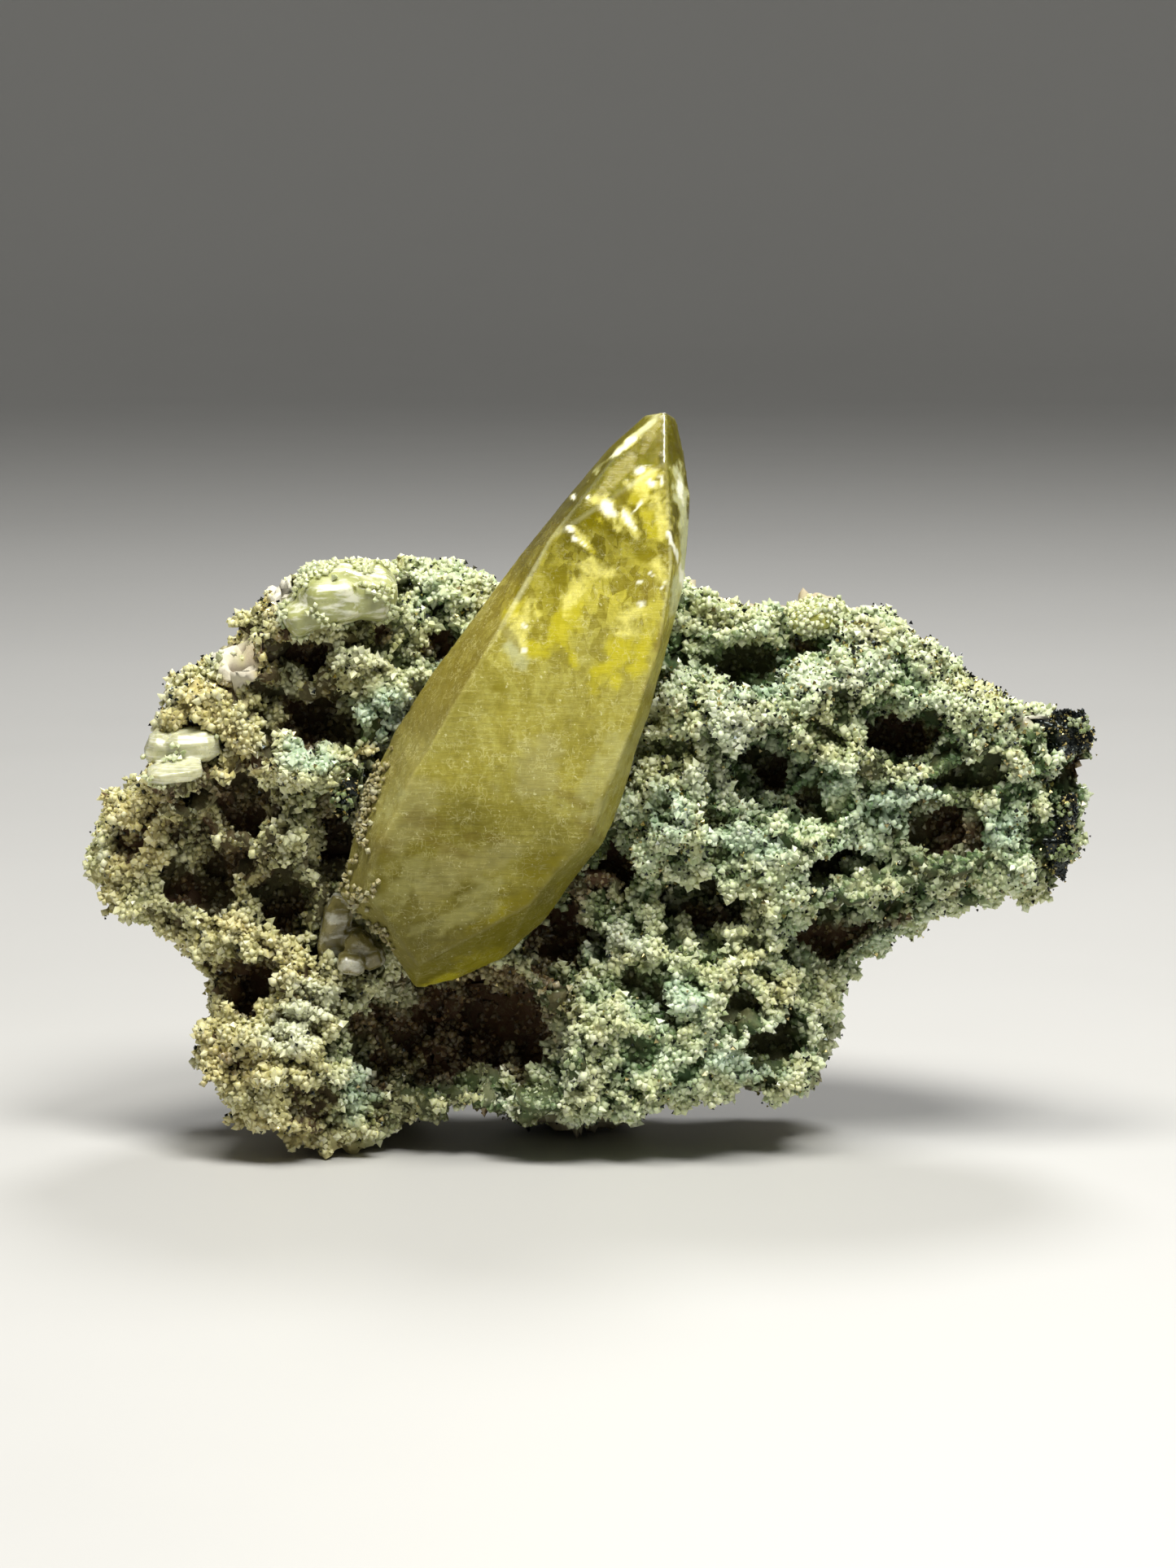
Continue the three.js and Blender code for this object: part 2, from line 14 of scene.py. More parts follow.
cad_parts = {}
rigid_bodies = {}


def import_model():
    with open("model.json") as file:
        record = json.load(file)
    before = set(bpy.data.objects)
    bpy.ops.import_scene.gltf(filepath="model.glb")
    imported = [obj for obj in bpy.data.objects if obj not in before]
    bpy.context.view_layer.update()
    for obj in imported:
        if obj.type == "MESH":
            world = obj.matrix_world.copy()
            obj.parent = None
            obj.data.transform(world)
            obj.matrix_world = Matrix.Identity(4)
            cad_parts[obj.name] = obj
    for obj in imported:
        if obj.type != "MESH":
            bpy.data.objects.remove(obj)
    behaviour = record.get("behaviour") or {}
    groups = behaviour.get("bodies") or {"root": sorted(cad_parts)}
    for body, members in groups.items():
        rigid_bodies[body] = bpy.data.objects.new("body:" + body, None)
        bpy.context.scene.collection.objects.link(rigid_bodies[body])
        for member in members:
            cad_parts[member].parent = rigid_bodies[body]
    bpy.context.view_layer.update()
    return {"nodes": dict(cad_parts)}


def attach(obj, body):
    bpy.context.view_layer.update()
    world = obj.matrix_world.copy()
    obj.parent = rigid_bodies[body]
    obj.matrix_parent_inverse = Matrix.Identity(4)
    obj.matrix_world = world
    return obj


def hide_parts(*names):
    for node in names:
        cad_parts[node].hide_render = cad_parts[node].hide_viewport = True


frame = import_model()

bl_info = {
    "name": "Calcite with chalcopyrite",
    "version": (1, 0, 0),
    "blender": (4, 5, 0),
    "location": "3D View > Sidebar > Specimen",
    "description": "Builds a calcite crystal on crusted rock with chalcopyrite around its solids",
    "category": "Add Mesh",
}

MM = 0.001

# The camera. Places that are read off the photograph are in its pixels.
PHOTO_SIZE = (1445, 1927)
FOCAL_PIXELS = 7875
CAMERA_PLACE = Vector((-0.0005, -0.7552, 0.1484))
CAMERA_ELEVATION = math.radians(8)
SENSOR_HEIGHT = 24

# Marks on the crust. Each is a pixel across, a pixel down and half a length in pixels, and then, where it
# isn't round, half a width, a turn in degrees clockwise and a strength.
BARE_SLOPES = [
    (288, 822, 46, 26, 60), (309, 800, 20, 12, 80), (1300, 886, 40, 9, 5), (1332, 882, 16),
    (430, 688, 52, 15, 5), (345, 728, 24, 26, 20),
]
BROWN_HOLLOWS = [
    (380, 887, 46, 26, 15), (377, 810, 24, 12, 0), (470, 780, 20, 12, 0), (531, 796, 18, 12, 0),
    (195, 990, 22, 14, 0), (290, 996, 52, 26, 20), (416, 1026, 42, 18, 70), (943, 945, 20, 15, 20),
    (1110, 908, 38, 20, 10), (984, 785, 16, 8, 0), (989, 985, 22, 14, 40, 0.7), (1163, 1015, 30, 22, 20),
    (871, 1114, 42, 14, 5), (1030, 1150, 50, 26, -10), (1095, 1137, 26, 14, 0), (690, 1130, 90, 34, -60),
    (570, 1265, 130, 80, -15), (750, 1060, 36, 12, 80), (240, 1084, 24, 16, 0), (349, 1109, 24, 14, 0),
    (288, 1065, 30, 16, 10), (299, 1210, 30, 20, 0), (1333, 948, 20, 14, 90), (1140, 1180, 44, 22, -30),
    (455, 1045, 30, 16, 60),
]
EVEN_PATCHES = [
    (1000, 795, 170, 56, 8), (570, 715, 70, 34, 20), (890, 900, 46, 70, 0), (870, 1310, 130, 44, 0),
    (1190, 850, 90, 30, 28), (260, 880, 50, 60, 0), (400, 940, 70, 30, 0), (1250, 1060, 60, 40, 20),
    (330, 730, 40, 30, 0), (960, 1060, 50, 30, 0), (760, 1250, 50, 40, 0),
]
BLUE_PATCHES = [
    (375, 930, 44, 24, 10), (450, 1340, 50, 26, -60), (1100, 1000, 80, 44, -30), (810, 1000, 50, 40, 0),
    (920, 1030, 60, 30, 0), (560, 800, 40, 30, 0), (470, 880, 40, 30, 0), (830, 1230, 60, 34, -20),
    (940, 830, 50, 24, -20), (1020, 960, 40, 24, 0), (1230, 1020, 40, 30, 0), (905, 1310, 60, 24, 10),
]
WARM_PATCHES = [
    (447, 930, 34, 22, 0), (240, 850, 60, 40, -30), (225, 900, 50), (1002, 746, 34, 14, -5, 0.6),
    (170, 1020, 70), (330, 740, 30), (960, 1220, 50, 30, 0, 0.5), (800, 980, 26), (600, 1230, 70),
    (300, 1320, 40), (880, 760, 50, 30, 0, 0.4), (1070, 770, 40, 20, 0, 0.5), (1200, 840, 40, 20, 30, 0.5),
]
# The patches right of the large crystal, from about 880 to 1090 across, are painted light that lifts the
# crystal's cast shadow; the others are white places of the crust and rock.
WHITE_PATCHES = [
    (390, 1230, 50, 30, -10), (905, 1270, 44, 24, 0), (640, 1360, 50, 24, 0), (360, 1270, 40),
    (430, 688, 52, 15, 5), (345, 728, 24, 26, 20, 0.8), (284, 820, 40, 22, 60, 0.6), (760, 1150, 50, 30, 0),
    (1300, 880, 46, 10, 5), (900, 940, 66, 90, 0, 1.0), (1090, 790, 90, 30, 10, 0.5),
    (1010, 830, 60, 24, 0), (880, 870, 30),
]
# Painted shade: these darken the crust where the far right end, the strip along its right edge and the lower
# lobes lie in shadow.
DARK_PATCHES = [
    (1326, 912, 24, 34, 0, 1.0), (1334, 948, 16, 26, 0, 1.0), (1318, 1035, 90, 34, 90, 1.0),
    (1290, 940, 24, 24, 0, 0.4), (1274, 955, 46, 70, 0, 0.3), (1285, 1020, 40, 30, 60, 0.3),
    (1180, 1170, 40, 16, -30, 0.9), (1130, 1180, 60, 30, -20, 0.5), (1010, 1330, 34, 14, 0, 0.6),
    (960, 1280, 40, 20, 30, 0.4), (830, 1330, 60, 12, 0, 0.5), (740, 1080, 20, 50, 0, 0.6),
    (480, 1370, 40, 20, -50, 0.6),
]
METAL_PATCHES = [
    (1325, 903, 30, 26, 0, 0.9), (1312, 1036, 44, 12, 90, 0.9), (1318, 985, 20, 14, 90, 0.9),
    (1310, 1085, 24, 12, 90, 0.8), (1245, 884, 26, 18, 0, 0.6), (1290, 960, 56, 30, 60, 0.35),
    (1262, 1000, 90, 50, 70, 0.22), (447, 975, 34, 18, 60, 0.6), (398, 735, 16, 12, 0, 0.6),
    (470, 745, 60, 30, 0, 0.25), (1120, 830, 170, 50, 20, 0.28), (960, 850, 140, 60, 0, 0.2),
    (880, 960, 90, 60, 0, 0.12), (1180, 930, 110, 60, 0, 0.24), (820, 1040, 60, 40, 0, 0.2),
    (340, 740, 40, 24, 0, 0.3), (1060, 1080, 150, 50, 0, 0.12), (240, 860, 50, 30, 0, 0.12),
]

# Marks on the large crystal, in the same form.
CLEAR_WINDOWS = [
    (728, 636, 26, 13, 35), (765, 657, 30, 7, 15), (795, 683, 20, 12, 25), (681, 709, 17, 14, 20),
    (678, 728, 22, 34, 15, 0.55), (793, 545, 14, 7, 60), (824, 538, 40, 9, 83), (664, 1062, 36, 20, -15),
    (700, 1090, 26, 12, -55), (616, 845, 16, 8, 10, 0.6), (636, 1112, 30, 12, -30),
    (590, 1140, 26, 10, -30, 0.5), (642, 728, 13, 9, -60), (757, 700, 14, 6, 30),
    (480, 1062, 18, 10, 40, 0.5), (655, 860, 18, 4, 15, 0.4), (800, 858, 16, 10, -40, 0.5),
]
VIVID_PATCHES = [
    (631, 750, 17, 12, -15), (703, 808, 15, 7, 80), (752, 812, 36, 22, -60), (690, 770, 30, 20, -50),
    (790, 800, 34, 12, -70), (590, 1183, 60, 14, -22, 0.4), (690, 1120, 44, 10, -50, 0.35),
    (700, 755, 26, 12, -30), (545, 1205, 28, 10, -10), (790, 600, 26, 14, -60), (722, 672, 18, 4, 45),
    (612, 1120, 20, 8, -60, 0.3), (738, 640, 6, 3, 45), (800, 645, 22, 16, 60), (660, 800, 20, 12, 0),
]
GLOWING_PATCHES = [
    (745, 627, 26, 12, 50), (773, 640, 26, 9, 58), (790, 590, 24, 10, -30), (805, 612, 24, 14, 60),
    (713, 664, 20, 7, 45), (775, 543, 16, 5, -32), (815, 640, 10, 28, 0), (810, 700, 10, 16, 0),
    (730, 700, 22, 12, 10), (775, 760, 24, 14, -60), (705, 735, 12, 24, 20), (640, 770, 14, 30, 20),
]
WHITE_GLINTS = [
    (747, 625, 15, 7, 52), (771, 637, 17, 5, 58), (787, 577, 9, 5, -20), (801, 594, 7, 5, 30),
    (701, 651, 7, 4, 45), (706, 662, 4), (716, 668, 9, 2, 45), (645, 770, 5, 3, 40), (644, 800, 4),
    (722, 612, 3), (704, 611, 5, 4, 0), (775, 541, 8, 4, -30), (762, 553, 16, 3, -38),
    (836, 600, 18, 4, 80), (826, 668, 22, 3, 70), (838, 712, 16, 4, 80), (800, 705, 4, 2, 60),
    (786, 716, 3), (815, 720, 8, 2, -60), (788, 742, 4), (812, 590, 10, 3, 70), (783, 623, 12, 2, -50),
]
FROSTED_RIMS = [
    (838, 610, 46, 9, 84), (841, 680, 50, 7, 92), (832, 730, 34, 8, 100), (770, 545, 44, 5, -42),
    (745, 940, 40, 26, -60), (730, 990, 30, 20, -40), (790, 900, 60, 10, -65), (632, 805, 18, 10, 30),
    (500, 1085, 40, 26, -30), (560, 1130, 50, 14, -25), (480, 990, 26, 14, -60), (600, 1090, 44, 12, -25),
]
# Grey veils in the crystal. The three at the tip are not veils but a painted grey reflection on its clear
# faces.
GREY_VEILS_AND_REFLECTIONS = [
    (630, 783, 20, 14, 60), (803, 520, 34, 10, 110, 0.5), (765, 570, 34, 10, 135, 0.5),
    (737, 605, 22, 8, 130, 0.5), (600, 1060, 60, 20, -20), (540, 1080, 50, 24, -40),
    (500, 1010, 60, 22, -60), (655, 950, 60, 30, -60),
]
GRAINS_ON_FOOT = [
    (452, 985, 50, 14, -68), (430, 1050, 44, 16, -65), (424, 1105, 40, 16, -85),
    (466, 1146, 30, 12, 50, 0.8), (470, 925, 34, 8, -65, 0.7), (455, 1090, 30, 14, -30, 0.6),
]
BROWN_CLOUDS = [
    (800, 728, 20, 14, 60), (520, 1010, 26, 12, 20), (480, 945, 24, 12, -50), (545, 1040, 30, 8, 25),
    (722, 1016, 28, 6, 35), (795, 850, 24, 12, -60), (600, 1030, 30, 8, 10), (655, 1165, 26, 7, -30),
    (470, 1040, 22, 10, 40), (700, 980, 30, 8, 20), (808, 790, 30, 6, -70),
]


# For each list of marks, the number that it gives the large crystal's corners, how ragged its edges are,
# the size of the rags in millimetres, and its strength.
CRYSTAL_MARKS = [
    ("window", CLEAR_WINDOWS, 0.3, 1.6, 0.9), ("vivid", VIVID_PATCHES, 0.5, 1.4, 0.75),
    ("glint", WHITE_GLINTS, 0.4, 0.7, 1.0), ("frost", FROSTED_RIMS, 0.7, 1.6, 0.9),
    ("veil", GREY_VEILS_AND_REFLECTIONS, 0.6, 2.4, 0.9), ("cloud", BROWN_CLOUDS, 0.7, 1.8, 0.45),
    ("glow", GLOWING_PATCHES, 0.6, 1.0, 0.75),
]


# What a user can change.

def size_setting(name, millimetres, description):
    return bpy.props.FloatProperty(
        name=name, description=description, default=millimetres * MM, unit="LENGTH")


def colour_setting(name, default, description):
    return bpy.props.FloatVectorProperty(name=name, description=description, default=default, subtype="COLOR")


def power_setting(name, watts, description):
    return bpy.props.FloatProperty(name=name, description=description, default=watts, unit="POWER")


class CrustSettings(bpy.types.PropertyGroup):
    """Sizes and colours of the rock and its crust."""

    rock_step: size_setting("Rock step", 0.7, "How finely the rock's surface is divided")
    furrow_depth: size_setting("Furrow depth", 1.5, "Depth of the furrows between lobes")
    hollow_depth: size_setting("Hollow depth", 1.8, "How much deeper the brown hollows go")
    pit_depth: size_setting("Pit depth", 1.9, "Depth of the ragged pits")
    clump_size: size_setting("Clump size", 4.4, "Width of the rounded clumps")
    clump_height: size_setting("Clump height", 2.3, "Depth of the creases between clumps")
    knob_size: size_setting("Knob size", 1.9, "Width of the knobs on the clumps")
    knob_height: size_setting("Knob height", 1.25, "Depth of the creases between knobs")
    grain_spacing: size_setting("Grain spacing", 0.6, "Least distance between crystals")
    grain_size: size_setting("Grain size", 0.98, "Width of a middling crystal of the crust")
    metal_size: size_setting("Chalcopyrite size", 0.5, "Width of a middling chalcopyrite grain")
    mint: colour_setting("Mint", (0.57, 0.675, 0.43), "Colour of the greenish crystals")
    cream: colour_setting("Cream", (0.62, 0.54, 0.22), "Colour of the warm crystals")
    lemon: colour_setting("Lemon", (0.62, 0.665, 0.36), "Colour of the yellowish crystals")
    blue_green: colour_setting("Blue green", (0.42, 0.58, 0.45), "Colour of the bluish crystals")
    # The two crevice colours are the painted shade in the creases, green among greenish crystals and brown
    # among warm ones.
    crevice_green: colour_setting("Crevice green", (0.035, 0.085, 0.02), "Creases between greenish crystals")
    crevice_brown: colour_setting("Crevice brown", (0.085, 0.036, 0.010), "Creases between warm crystals")
    bare_rock: colour_setting("Bare rock", (0.36, 0.29, 0.17), "Broken rock without crystals")


class CrystalSettings(bpy.types.PropertyGroup):
    """Sizes and colours of the calcite crystals."""

    crystal_step: size_setting("Crystal step", 0.34, "How finely the large crystal is divided")
    small_step: size_setting("Small step", 0.24, "How finely the small crystals are divided")
    etch_depth: size_setting("Etch depth", 0.12, "Depth of the etched marks")
    golden: colour_setting("Golden", (0.38, 0.328, 0.016), "Colour toward the tip")
    milky: colour_setting("Milky", (0.34, 0.30, 0.045), "Colour of the cloudy middle")
    # It is also the painted shade on the lower left faces of the large crystal.
    foot: colour_setting("Foot", (0.14, 0.117, 0.010), "Colour of the lower end")
    olive: colour_setting("Olive", (0.25, 0.21, 0.001), "Colour of the dark clear windows")
    vivid: colour_setting("Vivid", (0.54, 0.475, 0.014), "Colour of the bright yellow places")
    absorption: colour_setting("Absorption colour", (0.80, 0.72, 0.12), "What clear calcite lets through")
    absorption_density: bpy.props.FloatProperty(
        name="Absorption density", description="Tint of clear calcite, per metre", default=70.0)


class StageSettings(bpy.types.PropertyGroup):
    """The floor and the lights."""

    floor_radius: bpy.props.FloatProperty(
        name="Floor radius", description="How far the level floor reaches", default=1.1, unit="LENGTH")
    floor_colour: colour_setting("Floor colour", (0.50, 0.495, 0.48), "Pale floor and backdrop")
    key_power: power_setting("Key light", 4.4, "Power of the main light from the upper left")
    front_power: power_setting("Front light", 5.7, "Power of the light from high in front")
    back_power: power_setting("Back light", 3.0, "Power of the light from behind")
    surroundings: bpy.props.FloatProperty(
        name="Surrounding light", description="Strength of the faint light from all around", default=0.07)


# Repeatable noise on arrays of points.

def whole_hash(cells, salt):
    """A repeatable number from 0 to 1 for each cell of whole numbers."""
    parts = cells.astype(np.int64).astype(np.uint32) * np.array([73856093, 19349663, 83492791], np.uint32)
    mixed = parts[:, 0] ^ parts[:, 1] ^ parts[:, 2] ^ np.uint32(salt * 2654435761 % 4294967296)
    for shift, factor in ((16, 0x7FEB352D), (15, 0x846CA68B)):
        mixed = (mixed ^ (mixed >> np.uint32(shift))) * np.uint32(factor)
    return (mixed ^ (mixed >> np.uint32(16))) / 4294967296


def cloud(points, size, salt=1):
    """Smooth noise from -1 to 1 whose features have this size."""
    at = points / size
    low = np.floor(at)
    part = at - low
    part = part * part * (3 - 2 * part)
    total = np.zeros(len(points))
    for corner in np.ndindex(2, 2, 2):
        weight = np.prod(np.where(np.array(corner) == 1, part, 1 - part), axis=1)
        total += weight * whole_hash(low + corner, salt)
    return total * 2 - 1


def scattered(points, size, salt=1):
    """Distances to the two nearest of some scattered centres, in sizes, and the nearest one's slope here.

    The slope is how far a point lies to one side of its centre, along a direction of the centre's own.
    """
    at = points / size
    low = np.floor(at)
    nearest = np.full(len(points), 9.0)
    second = nearest.copy()
    slope = np.zeros(len(points))
    for step in np.ndindex(3, 3, 3):
        cell = low + np.array(step) - 1
        centre = cell + np.stack([whole_hash(cell, salt * 7 + axis) for axis in range(3)], axis=1)
        gap = np.linalg.norm(centre - at, axis=1)
        closer = gap < nearest
        second = np.where(closer, nearest, np.minimum(second, gap))
        nearest = np.where(closer, gap, nearest)
        lean = np.stack([whole_hash(cell[closer], salt * 11 + axis) for axis in range(3)], axis=1) * 2 - 1
        slope[closer] = np.einsum("ij,ij->i", at[closer] - centre[closer], lean)
    return nearest, second, slope


def rounded_bumps(points, size, salt=1):
    """Rounded bumps that meet in creases: about 1 on top of a bump and 0 in a crease."""
    nearest, second, _ = scattered(points, size, salt)
    inward = np.clip((second - nearest) / 0.75, 0, 1)
    return inward * (2 - inward) * (1 - 0.3 * nearest ** 2)


def ramp(values, low, high):
    """0 below low, 1 above high and smooth between them."""
    part = np.clip((values - low) / (high - low), 0, 1)
    return part * part * (3 - 2 * part)


def photo_pixels(points):
    """Where points are seen in the photograph, in its pixels."""
    offset = points - np.array(CAMERA_PLACE)
    tilt_up, tilt_along = math.cos(CAMERA_ELEVATION), math.sin(CAMERA_ELEVATION)
    depth = offset[:, 1] * tilt_up - offset[:, 2] * tilt_along
    height = offset[:, 1] * tilt_along + offset[:, 2] * tilt_up
    across = PHOTO_SIZE[0] / 2 + FOCAL_PIXELS * offset[:, 0] / depth
    down = PHOTO_SIZE[1] / 2 - FOCAL_PIXELS * height / depth
    return np.stack([across, down], axis=1)


def near_marks(points, marks, wander=0.3, grain=2.2 * MM):
    """How strongly each point lies in one of the marks, with ragged edges, from 0 to 1."""
    pixels = photo_pixels(points)
    sway = [wander * (cloud(points, grain, salt) + 0.6 * cloud(points, grain * 0.35, salt + 1))
            for salt in (31, 33)]
    strongest = np.zeros(len(points))
    for across, down, long, *rest in marks:
        wide, turn, strength = (*rest, *(long, 0, 1)[len(rest):])
        cosine, sine = math.cos(math.radians(turn)), math.sin(math.radians(turn))
        right, below = pixels[:, 0] - across, pixels[:, 1] - down
        gap = np.hypot((right * cosine + below * sine) / long + sway[0],
                       (below * cosine - right * sine) / wide + sway[1])
        strongest = np.maximum(strongest, (1 - ramp(gap, 0.5, 1.2)) * strength)
    return strongest


# Meshes.

def merged_copy(node):
    """A copy of a node's mesh with its loose triangles joined at their corners."""
    solid = bmesh.new()
    solid.from_mesh(frame["nodes"][node].data)
    bmesh.ops.remove_doubles(solid, verts=solid.verts, dist=1e-6)
    mesh = bpy.data.meshes.new(node + "_surface")
    solid.to_mesh(mesh)
    solid.free()
    mesh.materials.clear()
    return mesh


def show_object(name, mesh):
    piece = bpy.data.objects.new(name, mesh)
    bpy.context.scene.collection.objects.link(piece)
    return piece


def evaluated_mesh(piece):
    """The mesh that a piece has after its modifiers, which are then removed."""
    depsgraph = bpy.context.evaluated_depsgraph_get()
    depsgraph.update()
    mesh = bpy.data.meshes.new_from_object(
        piece.evaluated_get(depsgraph), preserve_all_data_layers=True, depsgraph=depsgraph)
    piece.modifiers.clear()
    return mesh


def evenly_divided(mesh, step):
    """The same closed surface, divided evenly into small faces."""
    helper = show_object("helper", mesh)
    modifier = helper.modifiers.new("even", "REMESH")
    modifier.mode = "VOXEL"
    modifier.voxel_size = step
    even = evaluated_mesh(helper)
    bpy.data.objects.remove(helper)
    return even


def corners_of(mesh):
    corners = np.empty(len(mesh.vertices) * 3)
    mesh.vertices.foreach_get("co", corners)
    return corners.reshape(-1, 3)


def normals_of(mesh):
    normals = np.empty(len(mesh.vertices) * 3)
    mesh.vertex_normals.foreach_get("vector", normals)
    return normals.reshape(-1, 3)


def put_corners(mesh, corners):
    mesh.vertices.foreach_set("co", corners.ravel())
    mesh.update()


def edge_pairs(mesh):
    pairs = np.empty(len(mesh.edges) * 2, np.int32)
    mesh.edges.foreach_get("vertices", pairs)
    return pairs.reshape(-1, 2)


def relaxed(values, pairs, rounds):
    """Corner values after each has moved toward the mean of its neighbours this many times."""
    count = np.bincount(pairs.ravel(), minlength=len(values))[:, None]
    flat = values.reshape(len(values), -1).astype(float)
    for _ in range(rounds):
        total = np.zeros_like(flat)
        for axis in range(flat.shape[1]):
            total[:, axis] = (np.bincount(pairs[:, 0], flat[pairs[:, 1], axis], len(flat))
                              + np.bincount(pairs[:, 1], flat[pairs[:, 0], axis], len(flat)))
        flat = 0.5 * flat + 0.5 * total / count
    return flat.reshape(values.shape)


def pushed_out(mesh, heights):
    """Moves each corner along its normal, but never below the surface that the rock stands on."""
    corners = corners_of(mesh) + normals_of(mesh) * heights[:, None]
    corners[:, 2] = np.maximum(corners[:, 2], 0)
    put_corners(mesh, corners)


def store(mesh, name, values):
    """Keeps one number per corner, for the materials and for what grows on the surface."""
    layer = mesh.attributes.get(name) or mesh.attributes.new(name, "FLOAT", "POINT")
    layer.data.foreach_set("value", np.ascontiguousarray(values, np.float32))


def stored_values(mesh, name):
    values = np.empty(len(mesh.vertices))
    mesh.attributes[name].data.foreach_get("value", values)
    return values


def store_larger(mesh, name, values):
    """Raises a stored number to these values where they are larger."""
    store(mesh, name, np.maximum(stored_values(mesh, name), values))


def shade(mesh, smooth):
    mesh.polygons.foreach_set("use_smooth", [smooth] * len(mesh.polygons))


def finished_piece(name, mesh, material, slot, *nodes):
    """Puts a piece in the scene with its finish, riding on the one body and standing for its nodes."""
    piece = show_object(name, mesh)
    mesh.materials.clear()
    mesh.materials.append(material)
    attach(piece, "root")
    if nodes:
        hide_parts(*nodes)
    return piece


# Node trees.

class Nodes:
    """Adds nodes to a tree, each with its settings and with values or links for its inputs."""

    def __init__(self, tree):
        self.tree = tree
        self.tree.nodes.clear()

    def add(self, kind, inputs=(), **settings):
        node = self.tree.nodes.new(kind)
        for name, value in settings.items():
            setattr(node, name, value)
        for key, value in dict(inputs).items():
            if isinstance(value, bpy.types.NodeSocket):
                self.tree.links.new(value, node.inputs[key])
            else:
                node.inputs[key].default_value = value
        return node

    def maths(self, operation, *values, clamp=False):
        return self.add("ShaderNodeMath", dict(enumerate(values)), operation=operation,
                        use_clamp=clamp).outputs[0]

    def between(self, value, low, high, to_low=0.0, to_high=1.0):
        return self.add("ShaderNodeMapRange", {"Value": value, "From Min": low, "From Max": high,
                                               "To Min": to_low, "To Max": to_high}).outputs[0]

    def mixed(self, share, first, second):
        # A mix of colours takes its share at socket 0 and the two colours at 6 and 7.
        return self.add("ShaderNodeMix", {0: share, 6: first, 7: second}, data_type="RGBA").outputs[2]

    def layered(self, colour, *layers):
        """A colour with others laid over it in turn, each by its own share."""
        for share, tint in layers:
            colour = self.mixed(share, colour, tint)
        return colour

    def stored(self, name, strength=None):
        """A number that the mesh keeps for each corner, times a strength where one is given."""
        value = self.add("ShaderNodeAttribute", attribute_name=name).outputs["Fac"]
        return value if strength is None else self.maths("MULTIPLY", value, strength)

    def noise(self, place, scale, detail=4.0, roughness=0.6):
        return self.add("ShaderNodeTexNoise", {"Vector": place, "Scale": scale, "Detail": detail,
                                               "Roughness": roughness}).outputs["Fac"]

    def cells(self, place, scale):
        return self.add("ShaderNodeTexVoronoi", {"Vector": place, "Scale": scale}).outputs["Color"]

    def place(self, scale=(1, 1, 1), turn=(0, 0, 0)):
        here = self.add("ShaderNodeTexCoord").outputs["Object"]
        return self.add("ShaderNodeMapping", {"Vector": here, "Scale": scale, "Rotation": turn}).outputs[0]

    def bump(self, height, strength, distance):
        return self.add("ShaderNodeBump", {"Height": height, "Strength": strength,
                                           "Distance": distance}).outputs[0]

    def finish(self, surface, absorption=None):
        """Ends a material with its surface and, for a clear one, with what its inside absorbs."""
        shaders = {"Surface": self.add("ShaderNodeBsdfPrincipled", surface).outputs[0]}
        if absorption:
            shaders["Volume"] = self.add("ShaderNodeVolumeAbsorption", absorption).outputs[0]
        self.add("ShaderNodeOutputMaterial", shaders)


# How strongly calcite bends light, between its two rays.
CALCITE_IOR = 1.6


def rgba(colour):
    return (*colour, 1)


def new_material(name):
    material = bpy.data.materials.new(name)
    material.use_nodes = True
    return material, Nodes(material.node_tree)


def crust_tint(nodes, crust):
    """Mint, lemon, cream and bluish regions, changing over a few millimetres, whiter in places."""
    patches = nodes.noise(nodes.place(), 210, 3.0)
    return nodes.layered(
        rgba(crust.mint),
        (nodes.between(patches, 0.42, 0.6), rgba(crust.lemon)),
        (nodes.stored("warm"), rgba(crust.cream)),
        (nodes.stored("blue", 0.65), rgba(crust.blue_green)),
        # White, partly painted light.
        (nodes.stored("white", 0.6), (0.72, 0.78, 0.60, 1)))


def grain_colour(nodes, crust):
    """The crust's tint, paler or darker from one crystal to the next, brown in the hollows, with painted
    light and shade.
    """
    own, recess = nodes.stored("own"), nodes.stored("recess")
    shaded = nodes.mixed(nodes.stored("warm"), (0.05, 0.15, 0.025, 1), (0.17, 0.12, 0.03, 1))
    rusty = nodes.mixed(own, (0.06, 0.022, 0.005, 1), (0.26, 0.14, 0.045, 1))
    bright = nodes.maths("MULTIPLY", nodes.between(own, 0.7, 1.0, 0.0, 0.4),
                         nodes.between(recess, 0.3, 0.8, 1.0, 0.25))
    # Painted highlight on the clump tops, painted shade in the creases, and a painted highlight on the paler
    # crystals that fades in the creases; some crystals at random take the same dark colour.
    return nodes.layered(
        crust_tint(nodes, crust),
        (nodes.between(recess, -0.7, -0.15, 0.2, 0.0), (0.76, 0.80, 0.62, 1)),
        (nodes.between(recess, 0.0, 0.5, 0.0, 0.88), shaded),
        (bright, (0.78, 0.80, 0.64, 1)),
        (nodes.between(own, 0.0, 0.2, 0.6, 0.0), shaded),
        (nodes.stored("brown", 0.85), rusty))


def grain_material(crust):
    material, nodes = new_material("small_calcite")
    speckle = nodes.noise(nodes.place(), 2600, 2.0)
    colour = nodes.mixed(nodes.between(speckle, 0.4, 0.75, 0.0, 0.3), grain_colour(nodes, crust),
                         (0.80, 0.83, 0.70, 1))
    nodes.finish({
        "Base Color": colour,
        "Roughness": nodes.between(nodes.stored("own"), 0, 1, 0.4, 0.14),
        "IOR": CALCITE_IOR,
        "Specular IOR Level": 0.3,
        "Subsurface Weight": 0.4,
        "Subsurface Radius": (0.8, 0.9, 0.4),
        "Subsurface Scale": 0.7 * MM,
        "Normal": nodes.bump(speckle, 0.25, 0.05 * MM),
    })
    return material


